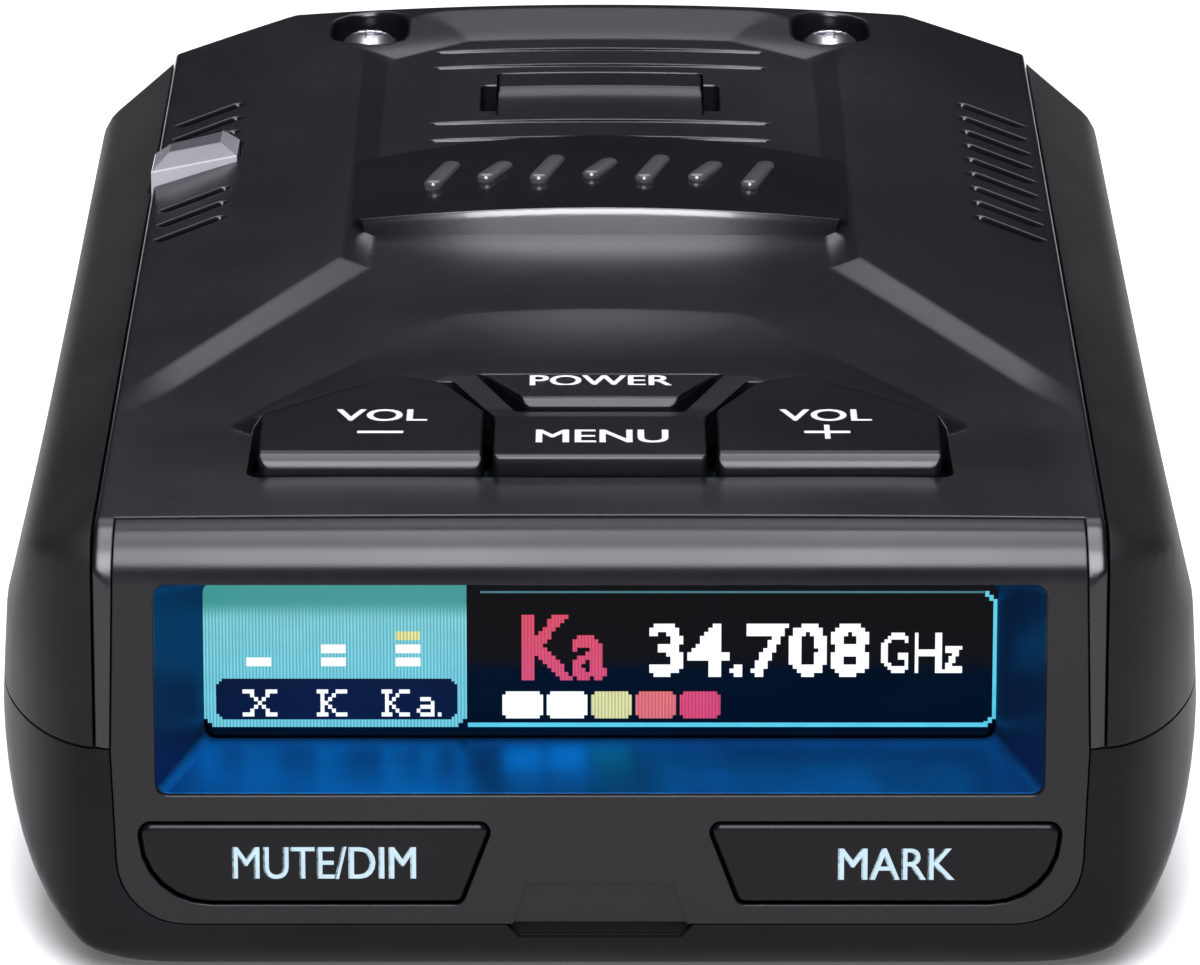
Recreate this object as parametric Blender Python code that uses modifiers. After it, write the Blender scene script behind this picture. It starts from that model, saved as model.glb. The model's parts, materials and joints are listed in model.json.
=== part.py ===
"""A dashboard radar detector, as it would come apart on a bench.

It lies on its flat underside. +X is to the driver's right, +Y points at the windscreen and +Z is up;
the origin is the middle of the underside. Lengths are in millimetres, and the helpers below turn them
into Blender's metres.

The case is one outer form, hollowed by the same form inset by the wall, and split along its seams into
a lower case, a top cover, two side panels and a front bezel. Keys and the bracket release slide in
openings of the covers; boards, display, horn antenna and speaker sit inside.
"""

import math

import bmesh
import bpy
from mathutils import Matrix, Vector

MM = 0.001

# Driving dimensions
LENGTH = 117.0
WIDTH = 70.0
FRONT = -LENGTH / 2
BACK = LENGTH / 2
HALF = WIDTH / 2
GAP = 0.3                 # clearance between neighbouring pieces
KEY_GAP = 0.35            # clearance around a key
SIDE_WALL = 1.6
TOP_WALL = 2.2

# Top surface: the seam line beside the deck, and how far the middle stands above it
HOOD_Y = -55.0            # where the deck meets the rounded front
SEAM_HEIGHT = 26.9        # at HOOD_Y
SEAM_SLOPE = 0.02515      # rise per millimetre towards the windscreen
SEAM_X = 28.9
CROWN = ((-60, 0.05), (-49, 0.35), (-40, 0.75), (-30, 1.1), (-20, 1.35), (-10, 1.5), (60, 1.7))
RIDGE_HEIGHT = 24.8       # crease between a side panel's slope and its flank
RIDGE_FRONT = 33.0        # half-widths of that crease at the two ends
RIDGE_BACK = 34.5
WAIST = 13.0              # height at which the case is widest
FOOT_HALF = 24.0          # half-width of the flat underside

# Split between lower case and covers, as (y, z) along the side
SPLIT = ((-62, 13.9), (-44, 14.9), (62, 15.4))

# Display recess
WINDOW = (25.4, 11.35, 23.85)     # half-width, bottom, top of the window in the bezel
SHROUD_Y = FRONT + 2.2
SCREEN_Y = -45.0
SCREEN = (23.2, 10.8, 20.4)       # the same at the back of the recess

# Keys
KEY_TRAVEL = 0.35
DECK_KEY_TOP = 28.4
POWER_KEY_TOP = 28.75
FLANGE_TOP = 24.9
FLANGE = 0.8
KEY_BOARD = (21.7, 22.3)          # bottom and top of the board under the deck keys
SWITCH_HEIGHT = 0.8
MAIN_BOARD = (4.4, 5.4)

# Bracket slot behind the release button
SLOT_HALF = 13.0
SLOT_Z = (24.4, 28.0)
SLOT_START = 27.5
SPRING_CENTRE = (0.0, 36.0)
SPRING_Z = (19.9, 25.6)

# base colour, roughness, metallic
MATERIALS = {
    "case_plastic": ((0.020, 0.020, 0.024), 0.55, 0.0),
    "side_plastic": ((0.012, 0.012, 0.015), 0.60, 0.0),
    "key_plastic": ((0.018, 0.018, 0.021), 0.45, 0.0),
    "gloss_black": ((0.008, 0.008, 0.010), 0.12, 0.0),
    "smoked_window": ((0.010, 0.012, 0.020), 0.08, 0.0),
    "clear_acrylic": ((0.75, 0.80, 0.85), 0.06, 0.0),
    "screen": ((0.02, 0.35, 0.40), 0.20, 0.0),
    "board": ((0.02, 0.16, 0.07), 0.45, 0.0),
    "steel": ((0.55, 0.55, 0.57), 0.30, 1.0),
    "tin_plate": ((0.62, 0.62, 0.60), 0.38, 1.0),
    "cast_zinc": ((0.42, 0.43, 0.45), 0.42, 1.0),
    "ceramic": ((0.72, 0.66, 0.52), 0.65, 0.0),
    "ribbon": ((0.45, 0.22, 0.04), 0.40, 0.0),
    "paper_cone": ((0.05, 0.05, 0.05), 0.85, 0.0),
    "foam": ((0.03, 0.03, 0.03), 0.95, 0.0),
}


# ---------------------------------------------------------------- helpers

def clear_scene():
    for obj in list(bpy.data.objects):
        bpy.data.objects.remove(obj, do_unlink=True)


def collection(name):
    found = bpy.data.collections.new(name)
    bpy.context.scene.collection.children.link(found)
    return found


def material(name):
    found = bpy.data.materials.get(name)
    if found:
        return found
    colour, roughness, metallic = MATERIALS[name]
    found = bpy.data.materials.new(name)
    found.use_nodes = True
    shader = found.node_tree.nodes["Principled BSDF"]
    shader.inputs["Base Color"].default_value = (*colour, 1)
    shader.inputs["Roughness"].default_value = roughness
    shader.inputs["Metallic"].default_value = metallic
    found.diffuse_color = (*colour, 1)
    return found


def piece(shape, name, finish):
    """Names a shape, puts it among the parts and gives it its material."""
    shape.name = name
    shape.data.name = name
    shape.data.materials.clear()
    shape.data.materials.append(material(finish))
    for owner in shape.users_collection:
        owner.objects.unlink(shape)
    PARTS.objects.link(shape)
    shape.data.shade_smooth()
    shape.data.set_sharp_from_angle(angle=math.radians(30))
    shape.hide_render = False
    shape.display_type = "TEXTURED"
    return shape


def helper(mesh):
    """A shape that is not a part yet: a cutter, or the start of a piece."""
    obj = bpy.data.objects.new(mesh.name, mesh)
    CUTTERS.objects.link(obj)
    obj.hide_render = True
    obj.display_type = "WIRE"
    return obj


def from_bmesh(bm, name):
    bmesh.ops.recalc_face_normals(bm, faces=bm.faces)
    if bm.calc_volume(signed=True) < 0:
        bmesh.ops.reverse_faces(bm, faces=bm.faces)
    mesh = bpy.data.meshes.new(name)
    bm.to_mesh(mesh)
    bm.free()
    return helper(mesh)


def settle(obj):
    """Applies the modifiers of a helper, so that it can be copied cheaply."""
    graph = bpy.context.evaluated_depsgraph_get()
    mesh = bpy.data.meshes.new_from_object(obj.evaluated_get(graph))
    bm = bmesh.new()
    bm.from_mesh(mesh)
    bmesh.ops.remove_doubles(bm, verts=bm.verts, dist=0.002 * MM)
    bmesh.ops.triangulate(bm, faces=bm.faces)
    bm.to_mesh(mesh)
    bm.free()
    obj.modifiers.clear()
    obj.data = mesh
    return obj


def twin(obj):
    return helper(obj.data.copy())


def box(low, high, bevel=0.0, segments=2):
    """A block between two corners, with its edges rounded by bevel."""
    low, high = Vector(low), Vector(high)
    bm = bmesh.new()
    bmesh.ops.create_cube(bm, size=1.0)
    for vert in bm.verts:
        spot = vert.co + Vector((0.5, 0.5, 0.5))
        vert.co = Vector(low[i] + spot[i] * (high[i] - low[i]) for i in range(3)) * MM
    obj = from_bmesh(bm, "block")
    if bevel:
        rounding = obj.modifiers.new("rounded edges", "BEVEL")
        rounding.width = bevel * MM
        rounding.segments = segments
    return obj


def drum(centre, radius, low, high, axis="Z", sides=24, end_radius=None):
    """A cylinder or cone along an axis, from low to high on it; centre is on the other two axes."""
    bm = bmesh.new()
    bmesh.ops.create_cone(
        bm, cap_ends=True, segments=sides, radius1=radius * MM,
        radius2=(radius if end_radius is None else end_radius) * MM, depth=(high - low) * MM,
    )
    middle = (low + high) / 2
    a, b = centre
    spot = {"Z": (a, b, middle), "Y": (a, middle, b), "X": (middle, a, b)}[axis]
    turn = {
        "Z": Matrix(),
        "Y": Matrix.Rotation(math.radians(-90), 4, "X"),
        "X": Matrix.Rotation(math.radians(90), 4, "Y"),
    }[axis]
    bm.transform(Matrix.Translation(Vector(spot) * MM) @ turn)
    return from_bmesh(bm, "drum")


def plate(outline, low, high, axis="Z"):
    """A flat outline, thickened from low to high. It lies in XY, XZ or YZ for axis Z, Y or X."""
    curve = bpy.data.curves.new("outline", "CURVE")
    curve.dimensions = "2D"
    curve.fill_mode = "BOTH"
    curve.extrude = (high - low) / 2 * MM
    spline = curve.splines.new("POLY")
    spline.points.add(len(outline) - 1)
    for point, (a, b) in zip(spline.points, outline):
        point.co = (a * MM, b * MM, 0, 1)
    spline.use_cyclic_u = True
    flat = bpy.data.objects.new("outline", curve)
    CUTTERS.objects.link(flat)
    graph = bpy.context.evaluated_depsgraph_get()
    mesh = bpy.data.meshes.new_from_object(flat.evaluated_get(graph))
    bpy.data.objects.remove(flat)
    middle = (low + high) / 2 * MM
    stand = {
        "Z": Matrix.Translation((0, 0, middle)),
        "Y": Matrix(((1, 0, 0, 0), (0, 0, -1, middle), (0, 1, 0, 0), (0, 0, 0, 1))),
        "X": Matrix(((0, 0, 1, middle), (1, 0, 0, 0), (0, 1, 0, 0), (0, 0, 0, 1))),
    }[axis]
    bm = bmesh.new()
    bm.from_mesh(mesh)
    bmesh.ops.remove_doubles(bm, verts=bm.verts, dist=0.001 * MM)
    bmesh.ops.dissolve_limit(bm, angle_limit=math.radians(0.5), verts=bm.verts, edges=bm.edges)
    bm.transform(stand)
    return from_bmesh(bm, "plate")


def loft(rings):
    """A solid through rings of equally many points."""
    bm = bmesh.new()
    rows = [[bm.verts.new(Vector(point) * MM) for point in ring] for ring in rings]
    count = len(rows[0])
    for row, after in zip(rows, rows[1:]):
        for i in range(count):
            j = (i + 1) % count
            bm.faces.new((row[i], row[j], after[j], after[i]))
    bm.faces.new(rows[0])
    bm.faces.new(rows[-1])
    bmesh.ops.triangulate(bm, faces=bm.faces)
    return from_bmesh(bm, "loft")


def boolean(obj, other, operation):
    step = obj.modifiers.new(operation.lower(), "BOOLEAN")
    step.operation = operation
    step.solver = "EXACT"
    step.object = other
    return obj


def cut(obj, *others):
    for other in others:
        boolean(obj, other, "DIFFERENCE")
    return obj


def keep(obj, other):
    return boolean(obj, other, "INTERSECT")


def join(obj, *others):
    for other in others:
        boolean(obj, other, "UNION")
    return obj


def rounded(corners, steps=4):
    """An outline from (x, y, radius) corners, each corner turned into an arc."""
    outline = []
    count = len(corners)
    for i, (x, y, radius) in enumerate(corners):
        here = Vector((x, y))
        if not radius:
            outline.append((x, y))
            continue
        back = (Vector(corners[i - 1][:2]) - here).normalized()
        ahead = (Vector(corners[(i + 1) % count][:2]) - here).normalized()
        half = back.angle(ahead) / 2
        centre = here + (back + ahead).normalized() * radius / math.sin(half)
        start = here + back * radius / math.tan(half) - centre
        end = here + ahead * radius / math.tan(half) - centre
        sweep = start.angle_signed(end)
        for step in range(steps + 1):
            arm = start.copy()
            arm.rotate(Matrix.Rotation(-sweep * step / steps, 2))
            outline.append(tuple(centre + arm))
    return outline


def grown(outline, margin):
    """An anticlockwise outline moved outward by margin."""
    moved = []
    count = len(outline)
    for i, point in enumerate(outline):
        before = Vector(point) - Vector(outline[i - 1])
        after = Vector(outline[(i + 1) % count]) - Vector(point)
        sides = [Vector((edge.y, -edge.x)).normalized() for edge in (before, after)]
        outward = (sides[0] + sides[1]).normalized()
        moved.append(tuple(Vector(point) + outward * margin / max(outward.dot(sides[0]), 0.4)))
    return moved


def mirrored(outline):
    """The outline on the other side of x = 0, still anticlockwise."""
    return [(-x, y) for x, y in reversed(outline)]


def between(table, at):
    """Linear interpolation in a table of (position, value)."""
    for (a, low), (b, high) in zip(table, table[1:]):
        if at <= b:
            return low + (high - low) * (at - a) / (b - a)
    return table[-1][1]


# ---------------------------------------------------------------- the case's outer form

def seam_z(y):
    return SEAM_HEIGHT + SEAM_SLOPE * (y - HOOD_Y)


def top_z(x, y):
    """Height of the plain crowned top, before channel and scoop are cut."""
    return seam_z(y) + between(CROWN, y) * (1 - (x / SEAM_X) ** 2)


def section(y, side, top, bottom):
    """One cross-section of the form, moved in by side, top and bottom walls."""
    crown = [(x, top_z(x, y) - top) for x in (0, 7.5, 15, 22)]
    ridge_x = between(((FRONT, RIDGE_FRONT), (BACK, RIDGE_BACK)), y)
    shoulder = [
        (SEAM_X - side * 0.4, seam_z(y) - top),
        (ridge_x - side, RIDGE_HEIGHT - top * 0.4),
        (HALF - side - 0.3, 19.5),
        (HALF - side, WAIST),
    ]
    belly = []
    for step in range(1, 6):
        angle = math.radians(90 * step / 5)
        x = FOOT_HALF + (HALF - side - FOOT_HALF) * math.cos(angle)
        belly.append((x, WAIST - (WAIST - bottom) * math.sin(angle)))
    right = crown + shoulder + belly
    left = [(-x, z) for x, z in reversed(right) if x > 0]
    return [(x, y, z) for x, z in right + [(0, bottom)] + left]


def plan_outline(inset):
    """The case seen from above, moved in by inset: slim rounded corners at the driver's end."""
    start, pull, end = Vector((28.0, FRONT)), Vector((33.2, -57.0)), Vector((HALF, -45.0))
    corner = []
    for step in range(7):
        t = step / 6
        corner.append(start * (1 - t) ** 2 + pull * 2 * t * (1 - t) + end * t ** 2)
    tail = [Vector(p) for p in ((HALF, 43), (34.2, 46.6), (32.6, 48.2), (29.6, 49.2), (22.4, 56.4))]
    tail += [Vector((20.8, 57.6)), Vector((18.8, 58.2)), Vector((12, BACK))]
    half = [(p.x, p.y) for p in corner + tail]
    whole = half + [(-x, y) for x, y in reversed(half)]
    return grown(whole, -inset) if inset else whole


def side_outline(inset, bottom):
    """The case seen from the side: a rounded brow over the bezel and rounded lower edges."""
    brow = 3.5 - inset * 0.5
    chin = 4.0 - inset * 0.5
    front, back = FRONT + inset, BACK - inset
    outline = []
    for step in range(6):
        angle = math.radians(90 * step / 5)
        outline.append((front + chin * (1 - math.cos(angle)), bottom + chin * (1 - math.sin(angle))))
    for step in range(4):
        angle = math.radians(90 * step / 3)
        outline.append((back - 2 + 2 * math.sin(angle), bottom + 2 - 2 * math.cos(angle)))
    outline += [(back, 29.3 - inset), (back - 1.2, 30.9 - inset), (back - 1.2, 45), (HOOD_Y, 45)]
    hood = top_z(0, HOOD_Y) - inset
    for step in range(6):
        angle = math.radians(90 * step / 5)
        outline.append((front + brow - brow * math.sin(angle), hood - brow + brow * math.cos(angle)))
    return outline


def case_form(side, top, bottom):
    stations = [FRONT - 2, -49, -40, -30, -20, -10, 20, BACK + 2]
    form = loft([section(y, side, top, bottom) for y in stations])
    keep(form, plate(plan_outline(side), -2, 50))
    keep(form, plate(side_outline(side, bottom), -40, 40, axis="X"))
    return settle(form)


def above_split(margin):
    """Everything over the split line, moved up by margin."""
    lower = [(y, z + margin) for y, z in SPLIT]
    return lower + [(62, 60), (-62, 60)]


def below_split(margin):
    return [(-62, -5), (62, -5)] + [(y, z - margin) for y, z in reversed(SPLIT)]


# ---------------------------------------------------------------- outlines of visible pieces

def bezel_outline(margin=0.0):
    """The front face within its edge line, as (x, z): corners rounded at the chin."""
    half = rounded([(22.0, 3.5, 0), (27.6, 3.5, 4.0), (28.0, 14.0, 0), (27.5, 34.0, 0)])
    return grown(half + mirrored(half), margin)


FRONT_KEY = rounded([(8.0, 4.85, 0.5), (26.2, 4.85, 4.0), (26.35, 9.6, 0.6), (6.2, 9.6, 0.5)])
VOLUME_KEY = rounded([(6.85, -47.4, 0.5), (19.8, -47.1, 0.5), (19.9, -38.5, 0.8),
                      (9.0, -31.9, 0.6), (6.85, -37.8, 0.4)], steps=3)
MENU_KEY = rounded([(-6.2, -47.5, 0.4), (6.2, -47.5, 0.4), (6.2, -38.95, 0.4), (-6.2, -38.95, 0.4)],
                   steps=3)
POWER_KEY = rounded([(-4.4, -36.5, 0.4), (4.4, -36.5, 0.4), (6.6, -30.5, 0.4), (-6.6, -30.5, 0.4)],
                    steps=3)
KEYS_OPENING = [(-20.2, -47.8), (20.2, -47.8), (20.3, -38.3), (9.2, -31.4), (8.6, -31.6), (6.5, -37.6),
                (6.5, -38.6), (-6.5, -38.6), (-6.5, -37.6), (-8.6, -31.6), (-9.2, -31.4),
                (-20.3, -38.3)]
BADGE = ([(-15.7, 2.4)] + [(x, 1.0 + 1.4 * (x / 15.7) ** 2) for x in (-8, 0, 8)] + [(15.7, 2.4)]
         + [(16.1, 17.8), (8, 19.7), (0, 20.3), (-8, 19.7), (-16.1, 17.8)])
CHANNEL = [(-15.4, -4.0), (15.4, -4.0), (15.4, 46.6), (10.3, 52.6), (-10.3, 52.6), (-15.4, 46.6)]
SCOOP = [(-15.6, -5.0), (-27.6, -31.0), (-27.6, -36.5), (27.6, -36.5), (27.6, -31.0), (15.6, -5.0)]
PRISM = [(-29.3, 14.4), (-23.9, 17.3), (-23.9, 23.2), (-29.3, 20.3)]


# ---------------------------------------------------------------- case pieces

def under_surface(outline, depth, reach=8.0):
    """A cutter with this outline whose floor runs parallel to the top, depth below it."""
    ys = [y for _, y in outline]
    stations = (min(ys) - 1, max(ys) + 1)
    rings = []
    for y in stations:
        floor = [(x, y, top_z(x, y) - depth) for x in (-29, -17, -8, 0, 8, 17, 29)]
        rings.append(floor + [(29, y, 30 + reach), (-29, y, 30 + reach)])
    return keep(loft(rings), plate(outline, 10, 30 + reach))


def side_slots():
    """Nine slanted sound slots beside the channel, as (start, end) centre lines on the right."""
    pitch = 3.48
    return [((24.4, 34.2 - pitch * i), (28.0, 30.2 - pitch * i)) for i in range(9)]


def slot_cutter(start, end, width=0.6):
    line = Vector(end) - Vector(start)
    across = Vector((-line.y, line.x)).normalized() * width / 2
    a, b = Vector(start), Vector(end)
    corners = [tuple(p) for p in (a - across, b - across, b + across, a + across)]
    return plate(corners, 22, 34)


def top_cover(outer, inner):
    cover = twin(outer)
    keep(cover, plate([(-SEAM_X + 0.15, -62), (SEAM_X - 0.15, -62), (SEAM_X + 0.45, 62),
                       (-SEAM_X - 0.45, 62)], 0, 50))
    keep(cover, plate(above_split(GAP / 2), -40, 40, axis="X"))
    cut(cover, inner)
    join(cover, box((-14.6, 26.0, 23.0), (14.6, 57.4, 29.6)))
    join(cover, drum(SPRING_CENTRE, 3.5, 18.8, 23.5, sides=16))
    for x in (-25.0, 25.0):
        for y in (-34.0, 38.0):
            join(cover, drum((x, y), 2.4, 7.0, seam_z(y) - 1.5, sides=12))
            cut(cover, drum((x, y), 1.1, 6.0, 20.0, sides=12))
    cut(cover, box((-SLOT_HALF, SLOT_START, SLOT_Z[0]), (SLOT_HALF, 62, SLOT_Z[1])))
    cut(cover, drum(SPRING_CENTRE, 2.8, 19.6, 25.0, sides=16))
    cut(cover, plate(bezel_outline(GAP / 2), -62, HOOD_Y + GAP, axis="Y"))
    cut(cover, plate(KEYS_OPENING, 20, 34), plate(grown(POWER_KEY, KEY_GAP), 20, 34))
    cut(cover, under_surface(CHANNEL, 0.75), under_surface(SCOOP, 0.7))
    cut(cover, under_surface(grown(BADGE, GAP), 1.1))
    cut(cover, box((-7.0, 30.2, 27.0), (7.0, 41.2, 34)), box((-7.9, 33.6, 29.0), (7.9, 36.0, 34)))
    for y in (24.4, 28.65, 43.1, 47.3):
        cut(cover, box((-11.1, y - 0.25, top_z(0, y) - 1.3), (11.1, y + 0.25, 34)))
    for side in (-1, 1):
        cut(cover, drum((side * 16.0, 52.4), 2.7, 29.0, 34, sides=16))
        cut(cover, drum((side * 16.0, 52.4), 1.35, 20, 30, sides=12))
        for (x0, y0), (x1, y1) in side_slots():
            cut(cover, slot_cutter((side * x0, y0), (side * x1, y1)))
    cut(cover, plate(grown(PRISM, GAP), 10, 34))
    cut(cover, window_cutter(GAP))
    return piece(settle(cover), "top_cover", "case_plastic")


def window_cutter(margin):
    """The windscreen end's opening for the antenna window."""
    return plate(grown(rounded([(-17, 7.5, 2), (17, 7.5, 2), (17, 22.2, 2), (-17, 22.2, 2)], 3), margin),
                 BACK - 2.6, BACK + 2, axis="Y")


def side_panel(outer, inner, side):
    name = "right_side_panel" if side > 0 else "left_side_panel"
    panel = twin(outer)
    region = [(SEAM_X + 0.15, -62), (60, -62), (60, 62), (SEAM_X + 0.75, 62)]
    keep(panel, plate(region if side > 0 else mirrored(region), 0, 50))
    keep(panel, plate(above_split(GAP / 2), -40, 40, axis="X"))
    cut(panel, inner)
    if side < 0:
        cut(panel, plate(grown(PRISM, GAP), 10, 34))
    return piece(settle(panel), name, "side_plastic")


def lower_case(outer, inner):
    case = keep(twin(outer), plate(below_split(GAP / 2), -40, 40, axis="X"))
    cut(case, inner)
    cut(case, plate(bezel_outline(GAP / 2), -62, -55.0, axis="Y"))
    cut(case, window_cutter(GAP))
    for x in (-25.0, 25.0):
        for y in (-34.0, 38.0):
            join(case, drum((x, y), 2.9, 0.6, 6.6, sides=16))
            cut(case, drum((x, y), 2.3, -2, 4.2, sides=16), drum((x, y), 1.3, 3, 9, sides=12))
    cut(case, box((30, -25.3, 5.4), (40, -12.7, 14.0)))
    cut(case, drum((-4.0, 9.4), 3.1, 30, 40, axis="X", sides=16))
    cut(case, box((-40, -22.3, 8.3), (-30, -12.9, 11.9)))
    for x in (-12.0, 12.0):
        join(case, drum((x, -36.0), 2.2, 1.0, 4.1, sides=12))
    return piece(settle(case), "lower_case", "case_plastic")


def front_bezel(outer, inner):
    bezel = keep(twin(outer), plate(bezel_outline(-GAP / 2), -62, HOOD_Y, axis="Y"))
    cut(bezel, inner)
    width, bottom, top = WINDOW
    cut(bezel, box((-width, -60, bottom), (width, -50, top)))
    seat = 0.8 + GAP
    cut(bezel, box((-width - seat, SHROUD_Y - GAP, bottom - seat), (width + seat, -50, top + seat)))
    for outline in (FRONT_KEY, mirrored(FRONT_KEY)):
        cut(bezel, plate(grown(outline, KEY_GAP), -62, -50, axis="Y"))
    notch = [(-5.4, 3.0), (5.4, 3.0), (4.2, 6.0), (-4.2, 6.0)]
    cut(bezel, plate(notch, -60, FRONT + 0.5, axis="Y"))
    return piece(settle(bezel), "front_bezel", "case_plastic")


def antenna_window():
    outline = rounded([(-17, 7.5, 2), (17, 7.5, 2), (17, 22.2, 2), (-17, 22.2, 2)], 3)
    window = plate(outline, BACK - 2.3, BACK - 0.35, axis="Y")
    cut(window, box((-6.3, 50, 15.7), (6.3, 62, 21.3)))
    return piece(settle(window), "antenna_window", "smoked_window")


def badge_plate():
    """A glossy plate with a sloped front edge, standing a little over the channel's floor."""
    stations = (0.0, 4.0, 21.0)
    rings = []
    for y in stations:
        lift = -0.2 if y == 0 else 0.55
        across = (-17, -8, 0, 8, 17)
        upper = [(x, y, top_z(x, y) + lift) for x in across]
        rings.append(upper + [(x, y, top_z(x, y) - 0.75) for x in reversed(across)])
    badge = keep(loft(rings), plate(BADGE, 20, 40))
    return piece(settle(badge), "badge_plate", "gloss_black")


# ---------------------------------------------------------------- display

def display_shroud():
    """The tapered tunnel between the window and the screen."""
    def ring(y, half, bottom, top, wall):
        return [(-half - wall, y, bottom - wall), (half + wall, y, bottom - wall),
                (half + wall, y, top + wall), (-half - wall, y, top + wall)]
    near, far = SHROUD_Y, SCREEN_Y - 1.2
    shroud = loft([ring(near, *WINDOW, 0.8), ring(far, *SCREEN, 0.8)])
    cut(shroud, loft([ring(near - 0.5, *WINDOW, 0), ring(far + 0.5, *SCREEN, 0)]))
    return piece(settle(shroud), "display_shroud", "gloss_black")


def display_pieces():
    half, bottom, top = SCREEN
    piece(box((-half - 0.8, SCREEN_Y - 0.9, bottom - 0.8), (half + 0.8, SCREEN_Y, top + 0.8), 0.15, 1),
          "display_lens", "gloss_black")
    piece(box((-half, SCREEN_Y + 0.7, bottom), (half, SCREEN_Y + 2.0, top), 0.1, 1), "oled_panel", "screen")
    frame = box((-half - 1.6, SCREEN_Y + 0.4, bottom - 1.4), (half + 1.6, SCREEN_Y + 3.4, top + 0.9))
    cut(frame, box((-half - GAP, SCREEN_Y - 1, bottom - GAP), (half + GAP, SCREEN_Y + 2.3, top + GAP)))
    cut(frame, box((-8.5, SCREEN_Y, bottom + 1), (8.5, SCREEN_Y + 5, bottom + 4)))
    piece(settle(frame), "oled_frame", "key_plastic")
    tail = [(-40.9, 6.2), (-39.3, 6.2), (-39.3, 12.0), (-40.0, 13.2), (-42.3, 13.2), (-42.3, 12.9),
            (-40.2, 12.9), (-39.6, 11.9), (-39.6, 6.5), (-40.9, 6.5)]
    piece(plate(tail, -7.5, 7.5, axis="X"), "display_ribbon", "ribbon")


# ---------------------------------------------------------------- keys and switches

def deck_key(name, outline, top, flange, switch_at):
    """A key that slides down in the cover, its flange under the cover, over its switch."""
    key = plate(outline, FLANGE_TOP - 0.3, top)
    low, high = flange
    join(key, box((*low, FLANGE_TOP - FLANGE), (*high, FLANGE_TOP)))
    settle(key)
    soft = key.modifiers.new("soft edges", "BEVEL")
    soft.width = 0.25 * MM
    soft.segments = 2
    soft.angle_limit = math.radians(50)
    piece(settle(key), name + "_key", "key_plastic")
    x, y = switch_at
    base = KEY_BOARD[1] + GAP
    body = box((x - 2, y - 2, base), (x + 2, y + 2, base + SWITCH_HEIGHT))
    cut(body, drum(switch_at, 1.15, base - 1, base + 2, sides=16))
    piece(settle(body), name + "_switch", "steel")
    piece(drum(switch_at, 0.8, base + KEY_TRAVEL, base + 1.25, sides=16), name + "_plunger",
          "key_plastic")


def front_key(name, outline, switch_at):
    """A key of the bezel, which slides inward."""
    inner_face = FRONT + 2.1
    key = plate(outline, FRONT, inner_face + 0.6, axis="Y")
    join(key, plate(grown(outline, 0.75), inner_face, inner_face + 0.7, axis="Y"))
    piece(settle(key), name + "_key", "key_plastic")
    x, z = switch_at
    face = FRONT + 3.9
    body = box((x - 2, face, z - 2), (x + 2, face + SWITCH_HEIGHT, z + 2))
    cut(body, drum(switch_at, 1.15, face - 1, face + 2, axis="Y", sides=16))
    piece(settle(body), name + "_switch", "steel")
    piece(drum(switch_at, 0.8, face - 0.8, face + 0.2, axis="Y", sides=16), name + "_plunger",
          "key_plastic")


def keys():
    deck_key("volume_up", VOLUME_KEY, DECK_KEY_TOP, ((7.2, -48.6), (21.0, -38.4)), (14.0, -42.5))
    deck_key("volume_down", mirrored(VOLUME_KEY), DECK_KEY_TOP, ((-21.0, -48.6), (-7.2, -38.4)),
             (-14.0, -42.5))
    deck_key("menu", MENU_KEY, DECK_KEY_TOP, ((-6.6, -48.6), (6.6, -38.2)), (0.0, -43.0))
    deck_key("power", POWER_KEY, POWER_KEY_TOP, ((-4.0, -37.3), (4.0, -29.5)), (0.0, -33.5))
    front_key("mark", FRONT_KEY, (16.0, 7.2))
    front_key("mute_dim", mirrored(FRONT_KEY), (-16.0, 7.2))


# ---------------------------------------------------------------- bracket release

def bracket_release():
    surface = top_z(0, 35.5) - 0.75
    cap = box((-6.65, 30.6, SLOT_Z[1]), (6.65, 40.8, surface), 0.3, 2)
    piece(cap, "release_button", "case_plastic")
    wedge = [(31.5, 25.9), (40.0, 26.7), (40.0, 27.7), (31.5, 27.7)]
    piece(plate(wedge, -5.5, 5.5, axis="X"), "latch_hook", "cast_zinc")
    spring()


def spring(turns=4, radius=2.0, wire=0.32):
    """A helix whose wire is a curve with a round bevel."""
    low, high = SPRING_Z[0] + wire, SPRING_Z[1] - wire
    count = turns * 12
    curve = bpy.data.curves.new("latch_spring", "CURVE")
    curve.dimensions = "3D"
    curve.bevel_depth = wire * MM
    curve.bevel_resolution = 1
    curve.use_fill_caps = True
    line = curve.splines.new("POLY")
    line.points.add(count)
    for i, point in enumerate(line.points):
        angle = math.tau * turns * i / count
        x = SPRING_CENTRE[0] + radius * math.cos(angle)
        y = SPRING_CENTRE[1] + radius * math.sin(angle)
        point.co = (x * MM, y * MM, (low + (high - low) * i / count) * MM, 1)
    coil = bpy.data.objects.new("latch_spring", curve)
    PARTS.objects.link(coil)
    curve.materials.append(material("steel"))


# ---------------------------------------------------------------- electronics

def main_board():
    outline = [(-30, -41.5), (30, -41.5), (30, 40), (21, 50), (-21, 50), (-30, 40)]
    board = plate(outline, *MAIN_BOARD)
    for x in (-25.0, 25.0):
        for y in (-34.0, 38.0):
            cut(board, drum((x, y), 3.4, 0, 10, sides=16))
    for x in (-12.0, 12.0):
        cut(board, drum((x, -36.0), 1.2, 0, 10, sides=12))
    piece(settle(board), "main_board", "board")
    piece(box((-8, -22, 5.7), (6, -8, 7.1), 0.2, 1), "processor_chip", "gloss_black")


def small_boards():
    piece(box((-21.5, -45.6, KEY_BOARD[0]), (21.5, -29.5, KEY_BOARD[1])), "key_board", "board")
    face = FRONT + 5.0
    piece(box((-21.0, face, 3.6), (21.0, face + 0.7, 9.6)), "front_board", "board")
    piece(box((-13.5, 1.0, 10.5), (7.5, 25.0, 11.5)), "microwave_board", "board")


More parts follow.
